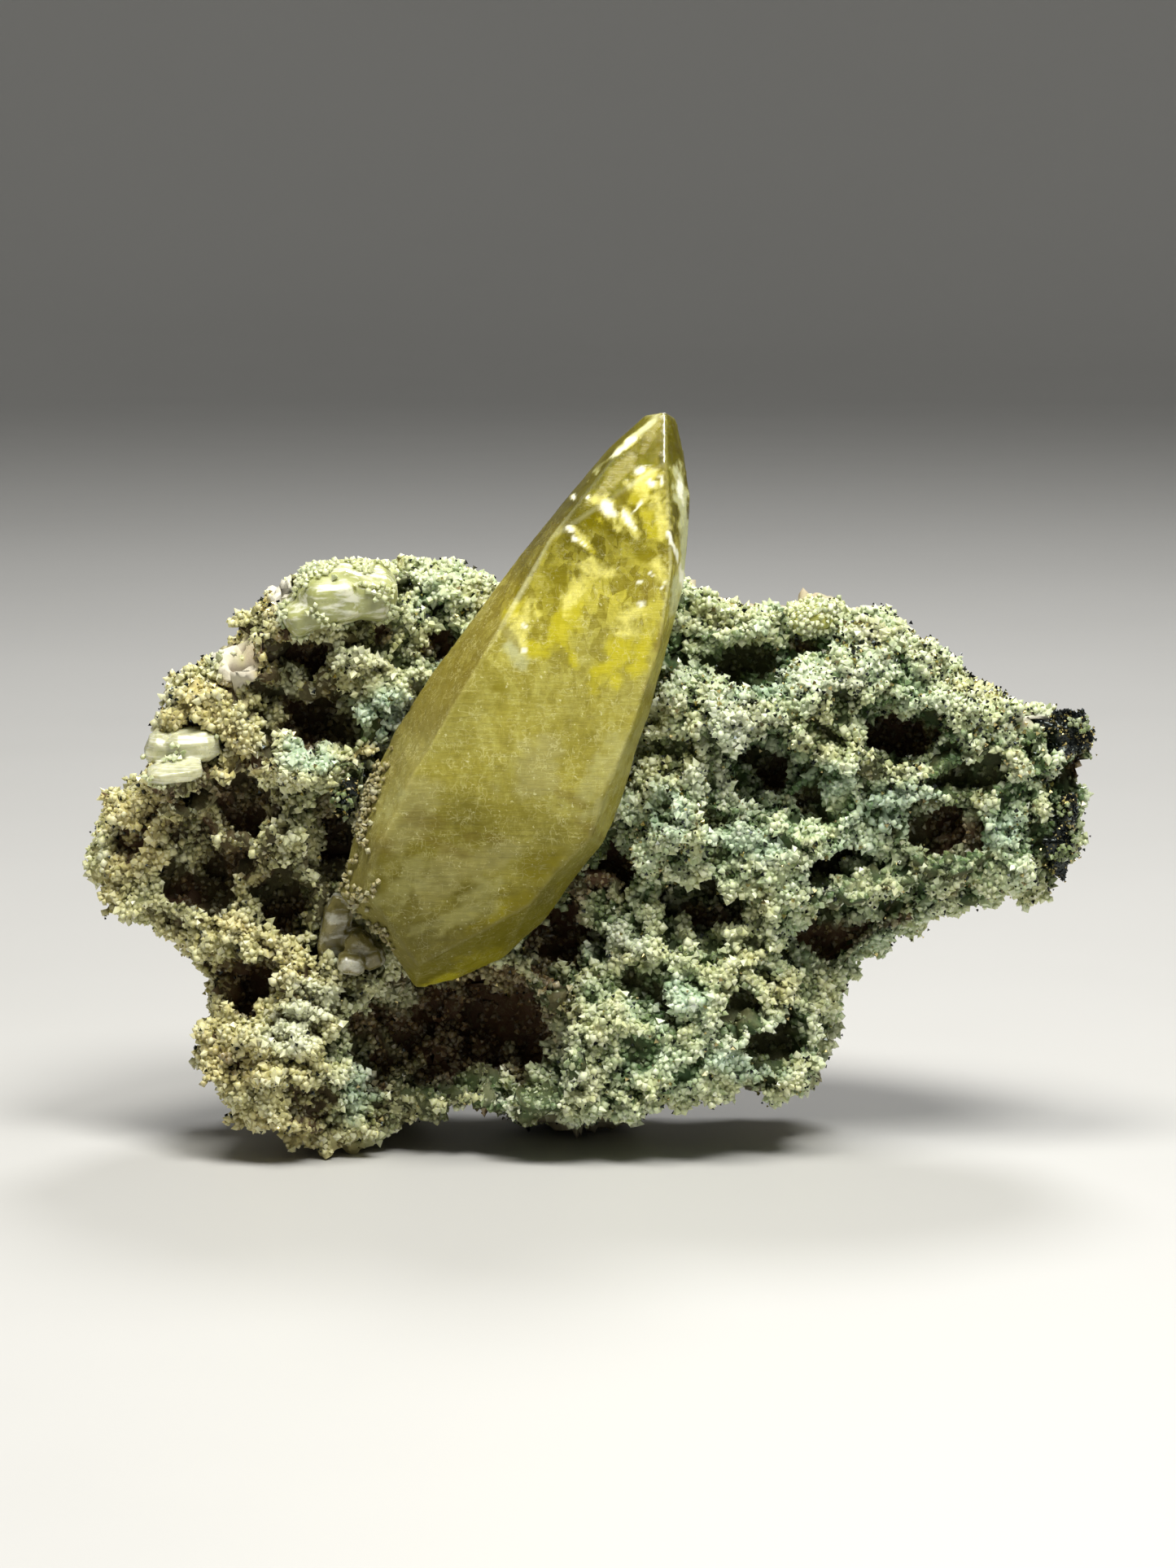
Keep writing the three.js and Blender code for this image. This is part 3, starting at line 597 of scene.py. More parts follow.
def bare_colour(nodes, crust):
    """Broken pale brown rock with darker beds, white in places and darker in its recesses by painted shade.
    """
    coarse = nodes.noise(nodes.place(), 160, 6.0)
    fine = nodes.noise(nodes.place(), 1400, 5.0, 0.7)
    beds = nodes.noise(nodes.place(scale=(1, 1, 3.2), turn=(0.1, 0.3, 0)), 120, 5.0)
    return nodes.layered(
        rgba(crust.bare_rock),
        (nodes.between(coarse, 0.35, 0.65), (0.50, 0.46, 0.32, 1)),
        (nodes.between(beds, 0.5, 0.7, 0, 0.6), (0.17, 0.10, 0.05, 1)),
        (nodes.between(fine, 0.55, 0.8, 0, 0.5), (0.70, 0.65, 0.50, 1)),
        (nodes.stored("white", 0.9), (0.84, 0.81, 0.68, 1)),
        # Painted shade in the recesses.
        (nodes.between(nodes.stored("recess"), 0.1, 0.7, 0, 0.8), (0.08, 0.05, 0.025, 1)))


def rock_material(crust):
    """Under the crystals the rock has their tint, but painted shade makes it dark green or brown in the
    creases.
    """
    material, nodes = new_material("host_rock")
    fine = nodes.noise(nodes.place(), 1400, 5.0, 0.7)
    crevice = nodes.mixed(nodes.maths("MAXIMUM", nodes.stored("warm"), nodes.stored("brown")),
                          rgba(crust.crevice_green), rgba(crust.crevice_brown))
    deep = nodes.maths("MAXIMUM", nodes.between(nodes.stored("recess"), 0.05, 0.5), nodes.stored("brown"))
    # Painted shade: a little between all the crystals and much more in the creases; in the brown hollows the
    # same dark brown is their own colour.
    covered = nodes.layered(
        crust_tint(nodes, crust),
        (0.15, crevice),
        (deep, crevice),
        (nodes.between(fine, 0.5, 0.75, 0, 0.35), (0.35, 0.36, 0.18, 1)))
    nodes.finish({
        "Base Color": nodes.mixed(nodes.stored("crust"), bare_colour(nodes, crust), covered),
        "Roughness": nodes.between(fine, 0.3, 0.7, 0.55, 0.9),
        "Normal": nodes.bump(fine, 0.6, 0.25 * MM),
    })
    return material


def metal_material():
    """Chalcopyrite: brassy grains among darker tarnished ones."""
    material, nodes = new_material("chalcopyrite")
    tarnish = nodes.noise(nodes.place(), 900, 3.0)
    colour = nodes.layered(
        (0.03, 0.035, 0.035, 1),
        (nodes.between(nodes.stored("own"), 0.6, 0.8), (0.60, 0.50, 0.22, 1)),
        (nodes.between(tarnish, 0.5, 0.7, 0, 0.6), (0.10, 0.11, 0.09, 1)))
    nodes.finish({
        "Base Color": colour,
        "Metallic": 1.0,
        "Roughness": nodes.between(tarnish, 0.3, 0.7, 0.18, 0.38),
        "Normal": nodes.bump(tarnish, 0.2, 0.03 * MM),
    })
    return material


def thin_lines(nodes, place, scale, width):
    """Thin curved lines, where a smooth noise passes through its middle."""
    waves = nodes.noise(place, scale, 2.0, 0.5)
    off = nodes.maths("ABSOLUTE", nodes.maths("SUBTRACT", waves, 0.5))
    return nodes.between(off, 0.0, width, 1.0, 0.0)


def crackle(nodes, place):
    """Small clear and pale cells side by side, as in calcite that is full of healed cracks."""
    both = nodes.mixed(0.45, nodes.cells(place, 620), nodes.cells(place, 1700))
    return nodes.add("ShaderNodeSeparateColor", {"Color": both}).outputs[0]


def large_crystal_colour(nodes, crystal):
    """Golden toward the tip, milky in the middle, darker at the lower end and, as painted shade, on the lower
    left faces, with the stored marks on top.
    """
    leaning = (0, 0.45, 0)
    along = nodes.place(scale=(1, 1, 0.45), turn=leaning)
    across = nodes.place(scale=(0.4, 1, 1), turn=(0, -0.6, 0))
    wisps = nodes.noise(along, 260, 8.0, 0.7)
    broad = nodes.noise(nodes.place(), 110, 5.0, 0.6)
    speckle = nodes.noise(nodes.place(scale=(1, 1, 0.7), turn=leaning), 900, 6.0, 0.75)
    sparkle = nodes.noise(nodes.place(), 2300, 2.0)
    cells = crackle(nodes, nodes.place(scale=(1, 1, 0.6), turn=leaning))
    milk, foot = nodes.stored("milk"), nodes.stored("foot")
    dark = nodes.mixed(milk, (0.19, 0.155, 0.006, 1), (0.22, 0.19, 0.025, 1))
    pale = nodes.layered((0.60, 0.54, 0.07, 1), (milk, (0.46, 0.43, 0.12, 1)), (foot, (0.30, 0.27, 0.05, 1)))
    grainy = nodes.mixed(nodes.between(cells, 0.35, 0.75), dark, pale)
    frosted = nodes.mixed(milk, (0.74, 0.80, 0.52, 1), (0.42, 0.40, 0.15, 1))
    glow = nodes.maths("MULTIPLY", nodes.stored("glow"), nodes.between(speckle, 0.35, 0.6, 0.4, 1.0))
    hairs = nodes.maths("MAXIMUM", thin_lines(nodes, along, 900, 0.02),
                        thin_lines(nodes, across, 1300, 0.025))
    broken = nodes.between(nodes.noise(nodes.place(), 500, 3.0), 0.4, 0.62)
    colour = nodes.layered(
        rgba(crystal.golden),
        (milk, rgba(crystal.milky)),
        # Darker at the lower end, and on the lower left faces as painted shade.
        (foot, rgba(crystal.foot)),
        (nodes.between(wisps, 0.45, 0.66, 0, 0.7), dark),
        (nodes.between(broad, 0.46, 0.64, 0, 0.6), pale),
        (nodes.between(speckle, 0.5, 0.66, 0, 0.55), pale),
        (nodes.between(speckle, 0.5, 0.36, 0, 0.5), dark),
        (nodes.stored("cracked", 0.6), grainy),
        # Grey veils, with a painted reflection at the tip and painted shade on the left-facing faces.
        (nodes.stored("veil", 0.7), (0.34, 0.31, 0.11, 1)),
        # Brown clouds, with painted shade on the left-facing faces.
        (nodes.stored("cloud"), (0.17, 0.125, 0.02, 1)),
        (nodes.stored("bevel"), (0.22, 0.19, 0.004, 1)),
        (nodes.stored("window"), rgba(crystal.olive)),
        (nodes.stored("vivid"), rgba(crystal.vivid)),
        (glow, (0.86, 0.80, 0.22, 1)),
        (nodes.maths("MULTIPLY", nodes.maths("MULTIPLY", hairs, broken), 0.4), (0.74, 0.71, 0.34, 1)),
        (nodes.stored("frost", 0.6), frosted),
        # A painted highlight along the sharp edges.
        (nodes.stored("edge", 0.45), (0.80, 0.80, 0.50, 1)),
        (nodes.between(sparkle, 0.66, 0.74, 0, 0.55), (0.78, 0.76, 0.42, 1)),
        (nodes.maths("MULTIPLY", foot, 0.28), (0.07, 0.06, 0.0, 1)),
        (nodes.stored("glint"), (1.0, 0.99, 0.78, 1)))
    return colour, cells


def large_crystal_material(crystal):
    """Clear near the tip and in its windows, cloudy elsewhere, with a finely etched surface."""
    material, nodes = new_material("large_calcite")
    colour, cells = large_crystal_colour(nodes, crystal)
    fine = nodes.noise(nodes.place(), 1500, 5.0, 0.7)
    etched = nodes.noise(nodes.place(scale=(0.35, 1, 2.4), turn=(0, -0.25, 0)), 1100, 4.0, 0.65)
    clear = nodes.maths("MAXIMUM", nodes.stored("clear"), nodes.stored("window", 0.25))
    for mark in ("glint", "frost", "vivid", "glow", "veil"):
        kept = nodes.maths("SUBTRACT", 1.0, nodes.stored(mark), clamp=True)
        clear = nodes.maths("MULTIPLY", clear, kept)
    rough = nodes.maths("ADD", nodes.between(clear, 0, 0.7, 0.46, 0.1), nodes.between(fine, 0.4, 0.7, 0, 0.1))
    relief = nodes.maths("ADD", nodes.maths("MULTIPLY", etched, nodes.maths("SUBTRACT", 1.0, clear)),
                         nodes.maths("MULTIPLY", cells, nodes.stored("cracked", 0.5)))
    nodes.finish({
        "Base Color": colour,
        "Roughness": rough,
        "IOR": CALCITE_IOR,
        "Specular IOR Level": 0.12,
        "Transmission Weight": nodes.maths("MULTIPLY", clear, 0.9),
        "Subsurface Weight": 0.3,
        "Subsurface Radius": (1.0, 0.85, 0.25),
        "Subsurface Scale": 1.5 * MM,
        "Normal": nodes.bump(relief, 0.5, 0.16 * MM),
    }, {"Color": rgba(crystal.absorption), "Density": crystal.absorption_density})
    return material


def small_crystal_material(crystal, name, tint, clearness, streak):
    """Clear to milky calcite with fine streaks along the crystal."""
    material, nodes = new_material(name)
    streaks = nodes.noise(nodes.place(scale=(0.25, 1, streak)), 900, 4.0, 0.6)
    cloudy = nodes.noise(nodes.place(), 420, 5.0)
    pale = tuple(min(1, 1.35 * part + 0.04) for part in tint)
    colour = nodes.layered(
        rgba(tint),
        (nodes.between(cloudy, 0.35, 0.7), rgba(pale)),
        (nodes.between(streaks, 0.5, 0.62, 0, 0.7), (0.88, 0.88, 0.76, 1)))
    nodes.finish({
        "Base Color": colour,
        "Roughness": nodes.between(cloudy, 0.3, 0.7, 0.12, 0.34),
        "IOR": CALCITE_IOR,
        "Transmission Weight": nodes.between(cloudy, 0.35, 0.65, clearness, clearness * 0.3),
        "Subsurface Weight": 0.5,
        "Subsurface Radius": (1.0, 0.9, 0.5),
        "Subsurface Scale": 1.5 * MM,
        "Normal": nodes.bump(streaks, 0.35, 0.1 * MM),
    }, {"Color": (*crystal.absorption[:2], 0.4, 1), "Density": crystal.absorption_density * 0.6})
    return material


def floor_material(stage):
    material, nodes = new_material("pale_floor")
    broad = nodes.noise(nodes.place(), 6, 4.0)
    fine = nodes.noise(nodes.place(), 900, 3.0)
    colour = nodes.mixed(nodes.between(broad, 0.3, 0.7, 0, 0.25), rgba(stage.floor_colour),
                         tuple(0.88 * part for part in stage.floor_colour) + (1,))
    nodes.finish({
        "Base Color": colour,
        "Roughness": nodes.between(broad, 0.3, 0.7, 0.42, 0.55),
        "Normal": nodes.bump(fine, 0.05, 0.1 * MM),
    })
    return material


# The rock and its crust.

def crust_share(corners, normals):
    """Where crystals cover the rock: all of the front, and ragged patches at the back and below."""
    reach = corners[:, 1] + 8 * MM * cloud(corners, 13 * MM, 3) + 4 * MM * cloud(corners, 5 * MM, 4)
    front = 1 - ramp(reach, 8 * MM, 10 * MM)
    patches = ramp(cloud(corners, 8 * MM, 5) + 0.3 * cloud(corners, 3 * MM, 6), 0.32, 0.5)
    rising = 14 * MM * ramp(corners[:, 2], 12 * MM, 24 * MM)
    under = ramp(-normals[:, 2], 0.5, 0.9) * ramp(corners[:, 1] - rising, -14 * MM, -6 * MM)
    bare = near_marks(corners, BARE_SLOPES)
    bare *= ramp(-corners[:, 1], -6 * MM, 0)
    return np.maximum(front, patches * 0.8) * (1 - under * (1 - 0.8 * patches)) * (1 - bare)


def above_floor(corners):
    """Where crystals can grow without reaching below the surface that the rock stands on."""
    return ramp(corners[:, 2], 0.9 * MM, 1.6 * MM)


def colour_regions(mesh, corners):
    """Stores where the crust is warm, bluish and white, and gives back how brown it is in the hollows."""
    pixels = photo_pixels(corners)
    sway = 90 * cloud(corners, 14 * MM, 11)
    left = 1 - ramp(pixels[:, 0] + sway, 300, 640)
    bottom = ramp(pixels[:, 1] + sway, 1340, 1420)
    warm = np.clip(0.75 * left + 0.25 * bottom + 0.35 * cloud(corners, 6 * MM, 12) + 0.12, 0, 1)
    warm = np.maximum(warm, near_marks(corners, WARM_PATCHES))
    behind = ramp(corners[:, 1], 2 * MM, 12 * MM)
    warm = np.maximum(warm, 0.6 * behind)
    blue = near_marks(corners, BLUE_PATCHES) * (1 - behind)
    blue = np.clip(blue + 0.3 * ramp(cloud(corners, 7 * MM, 13), 0.3, 0.7) * (1 - warm), 0, 1)
    store(mesh, "warm", warm * (1 - 0.7 * blue))
    store(mesh, "blue", blue)
    # White is partly painted light, where it lifts the large crystal's cast shadow.
    white = near_marks(corners, WHITE_PATCHES) * (1 - behind)
    store(mesh, "white", np.clip(white + 0.5 * ramp(cloud(corners, 5 * MM, 14), 0.35, 0.7), 0, 1))
    return near_marks(corners, BROWN_HOLLOWS) * (1 - ramp(corners[:, 1], -4 * MM, 2 * MM))


# What clumps and knobs rise to on average. It is taken off, so that the rock keeps its size.
CLUMP_MEAN, KNOB_MEAN = 0.62, 0.66

# A corner is wholly recessed when it lies this far below the surface as it is after so many rounds of
# relaxing, which stands for its surroundings.
RECESS_DEPTH = 1.4 * MM
RECESS_ROUNDS = 70


def warped(points, size, reach, salt):
    """Points moved about by smooth noise, so that what is laid over them isn't regular."""
    return points + reach * np.stack([cloud(points, size, salt + axis) for axis in range(3)], axis=1)


def broken_relief(corners):
    """Flat chips and ledges of bare broken rock, below its smooth form."""
    bent = warped(corners, 7 * MM, 1.5 * MM, 36) * np.array([1, 1, 1.7])
    large = scattered(bent, 9 * MM, 37)[2]
    middling = scattered(bent, 3.6 * MM, 38)[2]
    chips = scattered(warped(corners, 3 * MM, 0.5 * MM, 39), 1.6 * MM, 40)[2]
    cracks = 1 - ramp(np.abs(cloud(bent, 10 * MM, 48)), 0.0, 0.05)
    return MM * (1.9 * large + 1.0 * middling + 0.45 * chips - 0.8 * cracks - 0.6)


def crusted_relief(crust, corners):
    """Furrows between lobes, the hollows, ragged pits and rounded clumps."""
    furrows = 1 - ramp(np.abs(cloud(warped(corners, 5 * MM, 1.5 * MM, 45), 8.5 * MM, 44)), 0.0, 0.25)
    hollows = near_marks(corners, BROWN_HOLLOWS, 0.9) * (1 - ramp(corners[:, 1], -4 * MM, 2 * MM))
    ragged = (cloud(corners, 4.6 * MM, 71) + 0.55 * cloud(corners, 2.1 * MM, 72)
              + 0.3 * cloud(corners, 1.1 * MM, 73))
    even = near_marks(corners, EVEN_PATCHES)
    pits = ramp(ragged, 0.22, 0.62) * (1 - 0.8 * even)
    clumps = rounded_bumps(warped(corners, 3.5 * MM, 1.2 * MM, 21), crust.clump_size, 23) - CLUMP_MEAN
    return (-crust.furrow_depth * furrows - crust.hollow_depth * hollows - crust.pit_depth * pits
            + crust.clump_height * clumps * (1 - 0.55 * even))


def rock_mesh(crust):
    """The rock's solid with rounded clumps and knobs in front and broken ledges behind."""
    mesh = evenly_divided(merged_copy("matrix"), crust.rock_step)
    pairs = edge_pairs(mesh)
    put_corners(mesh, relaxed(corners_of(mesh), pairs, 6))
    corners = corners_of(mesh)
    cover = crust_share(corners, normals_of(mesh))
    pushed_out(mesh, cover * crusted_relief(crust, corners) + (1 - cover) * broken_relief(corners))
    moved = corners_of(mesh)
    knobs = rounded_bumps(warped(moved, 1.7 * MM, 0.5 * MM, 26), crust.knob_size, 29) - KNOB_MEAN
    pushed_out(mesh, cover * crust.knob_height * knobs)
    moved = corners_of(mesh)
    around = relaxed(moved, pairs, RECESS_ROUNDS)
    recess = np.einsum("ij,ij->i", around - moved, normals_of(mesh)) / RECESS_DEPTH
    # How recessed each corner is sets the painted shade of the crust, deepest in its creases; the dark
    # patches add their own painted shade to it.
    dark = near_marks(corners, DARK_PATCHES) * (1 - ramp(corners[:, 1], 10 * MM, 16 * MM))
    store(mesh, "recess", np.clip(recess + 0.9 * dark, -1, 1))
    brown = colour_regions(mesh, corners)
    rust = 0.5 * brown + 0.5 * np.clip(recess - 0.45, 0, 1) * (1 - 0.5 * brown)
    store(mesh, "brown", np.maximum(brown, np.clip(rust, 0, 1)))
    store(mesh, "crust", cover)
    return mesh


def zigzag_ring(sides, radius, height, zigzag):
    """Points around a crystal that go up and down in turn."""
    turns = [math.tau * i / sides for i in range(sides)]
    return [(radius * math.cos(turn), radius * math.sin(turn), height + zigzag * (-1) ** i)
            for i, turn in enumerate(turns)]


def add_hull(collection, name, points, smooth=False):
    """Adds the closed convex shape around some points to a collection."""
    shape = bmesh.new()
    for point in points:
        shape.verts.new(point)
    bmesh.ops.convex_hull(shape, input=shape.verts)
    mesh = bpy.data.meshes.new(name)
    shape.to_mesh(mesh)
    shape.free()
    shade(mesh, smooth)
    collection.objects.link(bpy.data.objects.new(name, mesh))


def grain_shapes():
    """Closed crystals a unit wide: pointed, blocky and stubby ones, each with a point below as a root."""
    collection = bpy.data.collections.new("grain_shapes")
    draw = np.random.default_rng(11)
    outlines = [
        zigzag_ring(6, 0.42, 0.02, 0.09) + [(0, 0, 0.72), (0, 0, -0.45)],
        zigzag_ring(6, 0.5, 0.05, 0.16) + [(0, 0, 0.5), (0, 0, -0.5)],
        zigzag_ring(4, 0.48, 0.12, 0.1) + [(0.06, 0.03, 0.5), (0, 0, -0.42)],
        zigzag_ring(4, 0.5, 0.05, 0.06) + [(-0.05, 0.08, 0.6), (0, 0, -0.4)],
        zigzag_ring(4, 0.46, 0.2, 0.14) + [(0.12, 0, 0.4), (0, 0, -0.45)],
    ]
    for number, points in enumerate(outlines):
        uneven = [Vector(point) + Vector(draw.uniform(-0.05, 0.05, 3)) for point in points]
        add_hull(collection, f"grain_shape_{number}", uneven, smooth=number % 2 == 1)
    return collection


def wedge_shapes():
    """Closed chalcopyrite grains a unit wide: four-sided wedges, some with an added corner or two."""
    collection = bpy.data.collections.new("wedge_shapes")
    draw = np.random.default_rng(12)
    corners = [(1, 1, 1), (1, -1, -1), (-1, 1, -1), (-1, -1, 1)]
    added = [[], [(0.5, 0.9, -0.4)], [(1, -0.2, 0.8), (-0.9, 0.3, 0.6)]]
    for number, extra in enumerate(added):
        uneven = [0.32 * Vector(corner) + Vector(draw.uniform(-0.03, 0.03, 3)) for corner in corners + extra]
        add_hull(collection, f"wedge_shape_{number}", uneven)
    return collection


GROWTH_INPUTS = [
    ("Where", "NodeSocketString"), ("Spacing", "NodeSocketFloat"), ("Smallest", "NodeSocketFloat"),
    ("Largest", "NodeSocketFloat"), ("Lean", "NodeSocketFloat"), ("Lift", "NodeSocketFloat"),
    ("Shapes", "NodeSocketCollection"), ("Finish", "NodeSocketMaterial"), ("Seed", "NodeSocketInt"),
    ("Keep surface", "NodeSocketBool"),
]


def growth_tree():
    """Crystals scattered over a surface where a stored number says so, leaning a little at random."""
    tree = bpy.data.node_groups.new("growth", "GeometryNodeTree")
    tree.interface.new_socket("Geometry", in_out="INPUT", socket_type="NodeSocketGeometry")
    for name, kind in GROWTH_INPUTS:
        tree.interface.new_socket(name, in_out="INPUT", socket_type=kind)
    tree.interface.new_socket("Geometry", in_out="OUTPUT", socket_type="NodeSocketGeometry")
    nodes = Nodes(tree)
    given = nodes.add("NodeGroupInput").outputs
    # The density is so high that only the spacing limits how many crystals grow.
    share = nodes.add("GeometryNodeInputNamedAttribute", {"Name": given["Where"]}, data_type="FLOAT")
    points = nodes.add("GeometryNodeDistributePointsOnFaces", {
        "Mesh": given["Geometry"], "Distance Min": given["Spacing"], "Density Max": 1e8,
        "Density Factor": share.outputs[0], "Seed": given["Seed"]}, distribute_method="POISSON")
    # A random value has its bounds at 0 and 1 for a vector, 2 and 3 for a number, 4 and 5 for a whole one.
    own = nodes.add("FunctionNodeRandomValue", {2: 0.0, 3: 1.0, "Seed": given["Seed"]}, data_type="FLOAT")
    marked = nodes.add("GeometryNodeStoreNamedAttribute", {
        "Geometry": points.outputs["Points"], "Name": "own", "Value": own.outputs[1]},
        data_type="FLOAT", domain="POINT")
    lift = nodes.add("ShaderNodeVectorMath", {0: points.outputs["Normal"], "Scale": given["Lift"]},
                     operation="SCALE")
    lifted = nodes.add("GeometryNodeSetPosition", {
        "Geometry": marked.outputs[0], "Offset": lift.outputs[0]})
    draw = nodes.add("FunctionNodeRandomValue", {2: 0.0, 3: 1.0, "Seed": 71}, data_type="FLOAT")
    skewed = nodes.maths("POWER", draw.outputs[1], 2.0)
    size = nodes.maths("MULTIPLY_ADD", skewed, nodes.maths("SUBTRACT", given["Largest"], given["Smallest"]),
                       given["Smallest"])
    # The choice goes round again where there are fewer shapes than that.
    choice = nodes.add("FunctionNodeRandomValue", {4: 0, 5: 9, "Seed": 72}, data_type="INT")
    shapes = nodes.add("GeometryNodeCollectionInfo", {
        "Collection": given["Shapes"], "Separate Children": True, "Reset Children": True})
    placed = nodes.add("GeometryNodeInstanceOnPoints", {
        "Points": lifted.outputs[0], "Instance": shapes.outputs[0], "Pick Instance": True,
        "Instance Index": choice.outputs[2], "Rotation": points.outputs["Rotation"], "Scale": size})
    lean = nodes.add("FunctionNodeRandomValue", {0: (-1, -1, -3.14), 1: (1, 1, 3.14), "Seed": 73},
                     data_type="FLOAT_VECTOR")
    spread = nodes.add("ShaderNodeCombineXYZ", {0: given["Lean"], 1: given["Lean"], 2: 1.0})
    turn = nodes.add("ShaderNodeVectorMath", {0: lean.outputs[0], 1: spread.outputs[0]}, operation="MULTIPLY")
    turned = nodes.add("GeometryNodeRotateInstances", {
        "Instances": placed.outputs[0], "Rotation": turn.outputs[0], "Local Space": True})
    real = nodes.add("GeometryNodeRealizeInstances", {"Geometry": turned.outputs[0]})
    both = nodes.add("GeometryNodeJoinGeometry")
    tree.links.new(real.outputs[0], both.inputs[0])
    tree.links.new(given["Geometry"], both.inputs[0])
    chosen = nodes.add("GeometryNodeSwitch", {
        "Switch": given["Keep surface"], "False": real.outputs[0], "True": both.outputs[0]},
        input_type="GEOMETRY")
    finish = nodes.add("GeometryNodeSetMaterial", {
        "Geometry": chosen.outputs[0], "Material": given["Finish"]})
    nodes.add("NodeGroupOutput", {"Geometry": finish.outputs[0]})
    return tree


def grown_on(surface, tree, **values):
    """The mesh of what grows on a surface, with the tree's inputs set by their names."""
    helper = show_object("helper", surface)
    modifier = helper.modifiers.new("growth", "NODES")
    modifier.node_group = tree
    for socket in tree.interface.items_tree:
        key = socket.name.lower().replace(" ", "_")
        if socket.in_out == "INPUT" and key in values:
            modifier[socket.identifier] = values[key]
    grown = evaluated_mesh(helper)
    bpy.data.objects.remove(helper)
    return grown


MADE_ONCE = {}


def shared(name, make):
    """Makes a mesh, tree, material or collection once and hands it out until the rock is built anew."""
    if name not in MADE_ONCE:
        MADE_ONCE[name] = make()
    return MADE_ONCE[name]


class SPECIMEN_OT_rock(bpy.types.Operator):
    """Builds the host rock under its crust"""

    bl_idname = "specimen.rock"
    bl_label = "Host rock"

    def execute(self, context):
        # The rock and all that is built after it take the settings as they are now.
        MADE_ONCE.clear()
        crust = context.scene.specimen_crust
        mesh = shared("rock", lambda: rock_mesh(crust))
        shade(mesh, True)
        finished_piece("host_rock", mesh, rock_material(crust), "rock_crust", "matrix")
        return {"FINISHED"}


def grains_on(crust, surface, where, seed, name, largest=1.4, lift=0.02):
    """A piece of small calcite crystals, grown on a surface where a stored number says so."""
    finish = shared("grains", lambda: grain_material(crust))
    mesh = grown_on(
        surface, shared("growth", growth_tree), where=where, spacing=crust.grain_spacing,
        smallest=0.72 * crust.grain_size, largest=largest * crust.grain_size, lean=0.45,
        lift=lift * MM, shapes=shared("grain shapes", grain_shapes), finish=finish, seed=seed)
    return finished_piece(name, mesh, finish, "rock_crust")


def sprinkled_grains(crust, surface, share, dark, seed, name, warm=0.35, inside=1.0):
    """Patches of small calcite crystals on a crystal or on chalcopyrite, over this share of it."""
    corners = corners_of(surface)
    # The darkness sets how much painted shade these crystals have.
    shades = {"warm": warm, "blue": 0.4 * dark, "white": 0.4 * (1 - dark), "brown": 0.0, "recess": 0.5 * dark}
    for name_of_shade, strength in shades.items():
        store(surface, name_of_shade, np.full(len(corners), strength))
    ragged = cloud(corners, 2.4 * MM, 74) + 0.5 * cloud(corners, 1.1 * MM, 75) + 2.2 * (share - 0.5)
    store(surface, "sprinkled", ramp(ragged, -0.15, 0.15) * inside)
    return grains_on(crust, surface, "sprinkled", seed, name, largest=1.1, lift=0.25)


class SPECIMEN_OT_crust(bpy.types.Operator):
    """Grows the small calcite crystals on the rock"""

    bl_idname = "specimen.crust"
    bl_label = "Crust of small crystals"

    def execute(self, context):
        crust = context.scene.specimen_crust
        surface = shared("rock", lambda: rock_mesh(crust))
        corners = corners_of(surface)
        recess = stored_values(surface, "recess")
        cover = stored_values(surface, "crust") * (1 - 0.6 * ramp(recess, 0.4, 0.8)) * above_floor(corners)
        regions = {
            "crust_left": (corners[:, 1] < 0) & (corners[:, 0] < -14 * MM),
            "crust_middle": (corners[:, 1] < 0) & (abs(corners[:, 0] - 4 * MM) < 18 * MM),
            "crust_right": (corners[:, 1] < 0) & (corners[:, 0] > 22 * MM),
            "crust_back": corners[:, 1] >= 0,
        }
        for seed, (name, inside) in enumerate(regions.items()):
            store(surface, name, cover * inside)
            grains_on(crust, surface, name, seed + 5, name)
        return {"FINISHED"}


class SPECIMEN_OT_chalcopyrite(bpy.types.Operator):
    """Scatters chalcopyrite grains on the crust and makes its three dense patches"""

    bl_idname = "specimen.chalcopyrite"
    bl_label = "Chalcopyrite"

    def execute(self, context):
        crust = context.scene.specimen_crust
        surface = shared("rock", lambda: rock_mesh(crust))
        corners = corners_of(surface)
        finish = shared("metal", metal_material)
        dense = near_marks(corners, METAL_PATCHES)
        behind = ramp(corners[:, 1], 4 * MM, 10 * MM)
        patchy = 0.5 + 0.5 * cloud(corners, 4 * MM, 41)
        crests = (1 - ramp(stored_values(surface, "recess"), 0.2, 0.7)) * above_floor(corners)
        amount = dense * (1 - behind) + 0.12 * patchy
        store(surface, "metal", stored_values(surface, "crust") * amount * crests)
        size = crust.metal_size
        settings = {"smallest": 0.6 * size, "largest": 1.5 * size, "lean": 3.0,
                    "shapes": shared("wedge shapes", wedge_shapes), "finish": finish}
        mesh = grown_on(surface, shared("growth", growth_tree), where="metal", spacing=0.4 * MM,
                        lift=0.62 * MM, seed=21, **settings)
        finished_piece("chalcopyrite_grains", mesh, finish, "chalcopyrite")
        for node in ("chalcopyrite_right_end", "chalcopyrite_right_edge", "chalcopyrite_beside_crystal"):
            base = evenly_divided(merged_copy(node), 0.25 * MM)
            put_corners(base, relaxed(corners_of(base), edge_pairs(base), 24))
            store(base, "everywhere", np.ones(len(base.vertices)))
            store(base, "own", np.zeros(len(base.vertices)))
            mesh = grown_on(base, shared("growth", growth_tree), where="everywhere", spacing=0.38 * MM,
                            lift=0.0, seed=22, keep_surface=True, **settings)
            finished_piece(node + "_grains", mesh, finish, "chalcopyrite", node)
            sprinkled_grains(crust, base, 0.3, 1.0, 23, node + "_calcite")
        return {"FINISHED"}


# The calcite crystals.

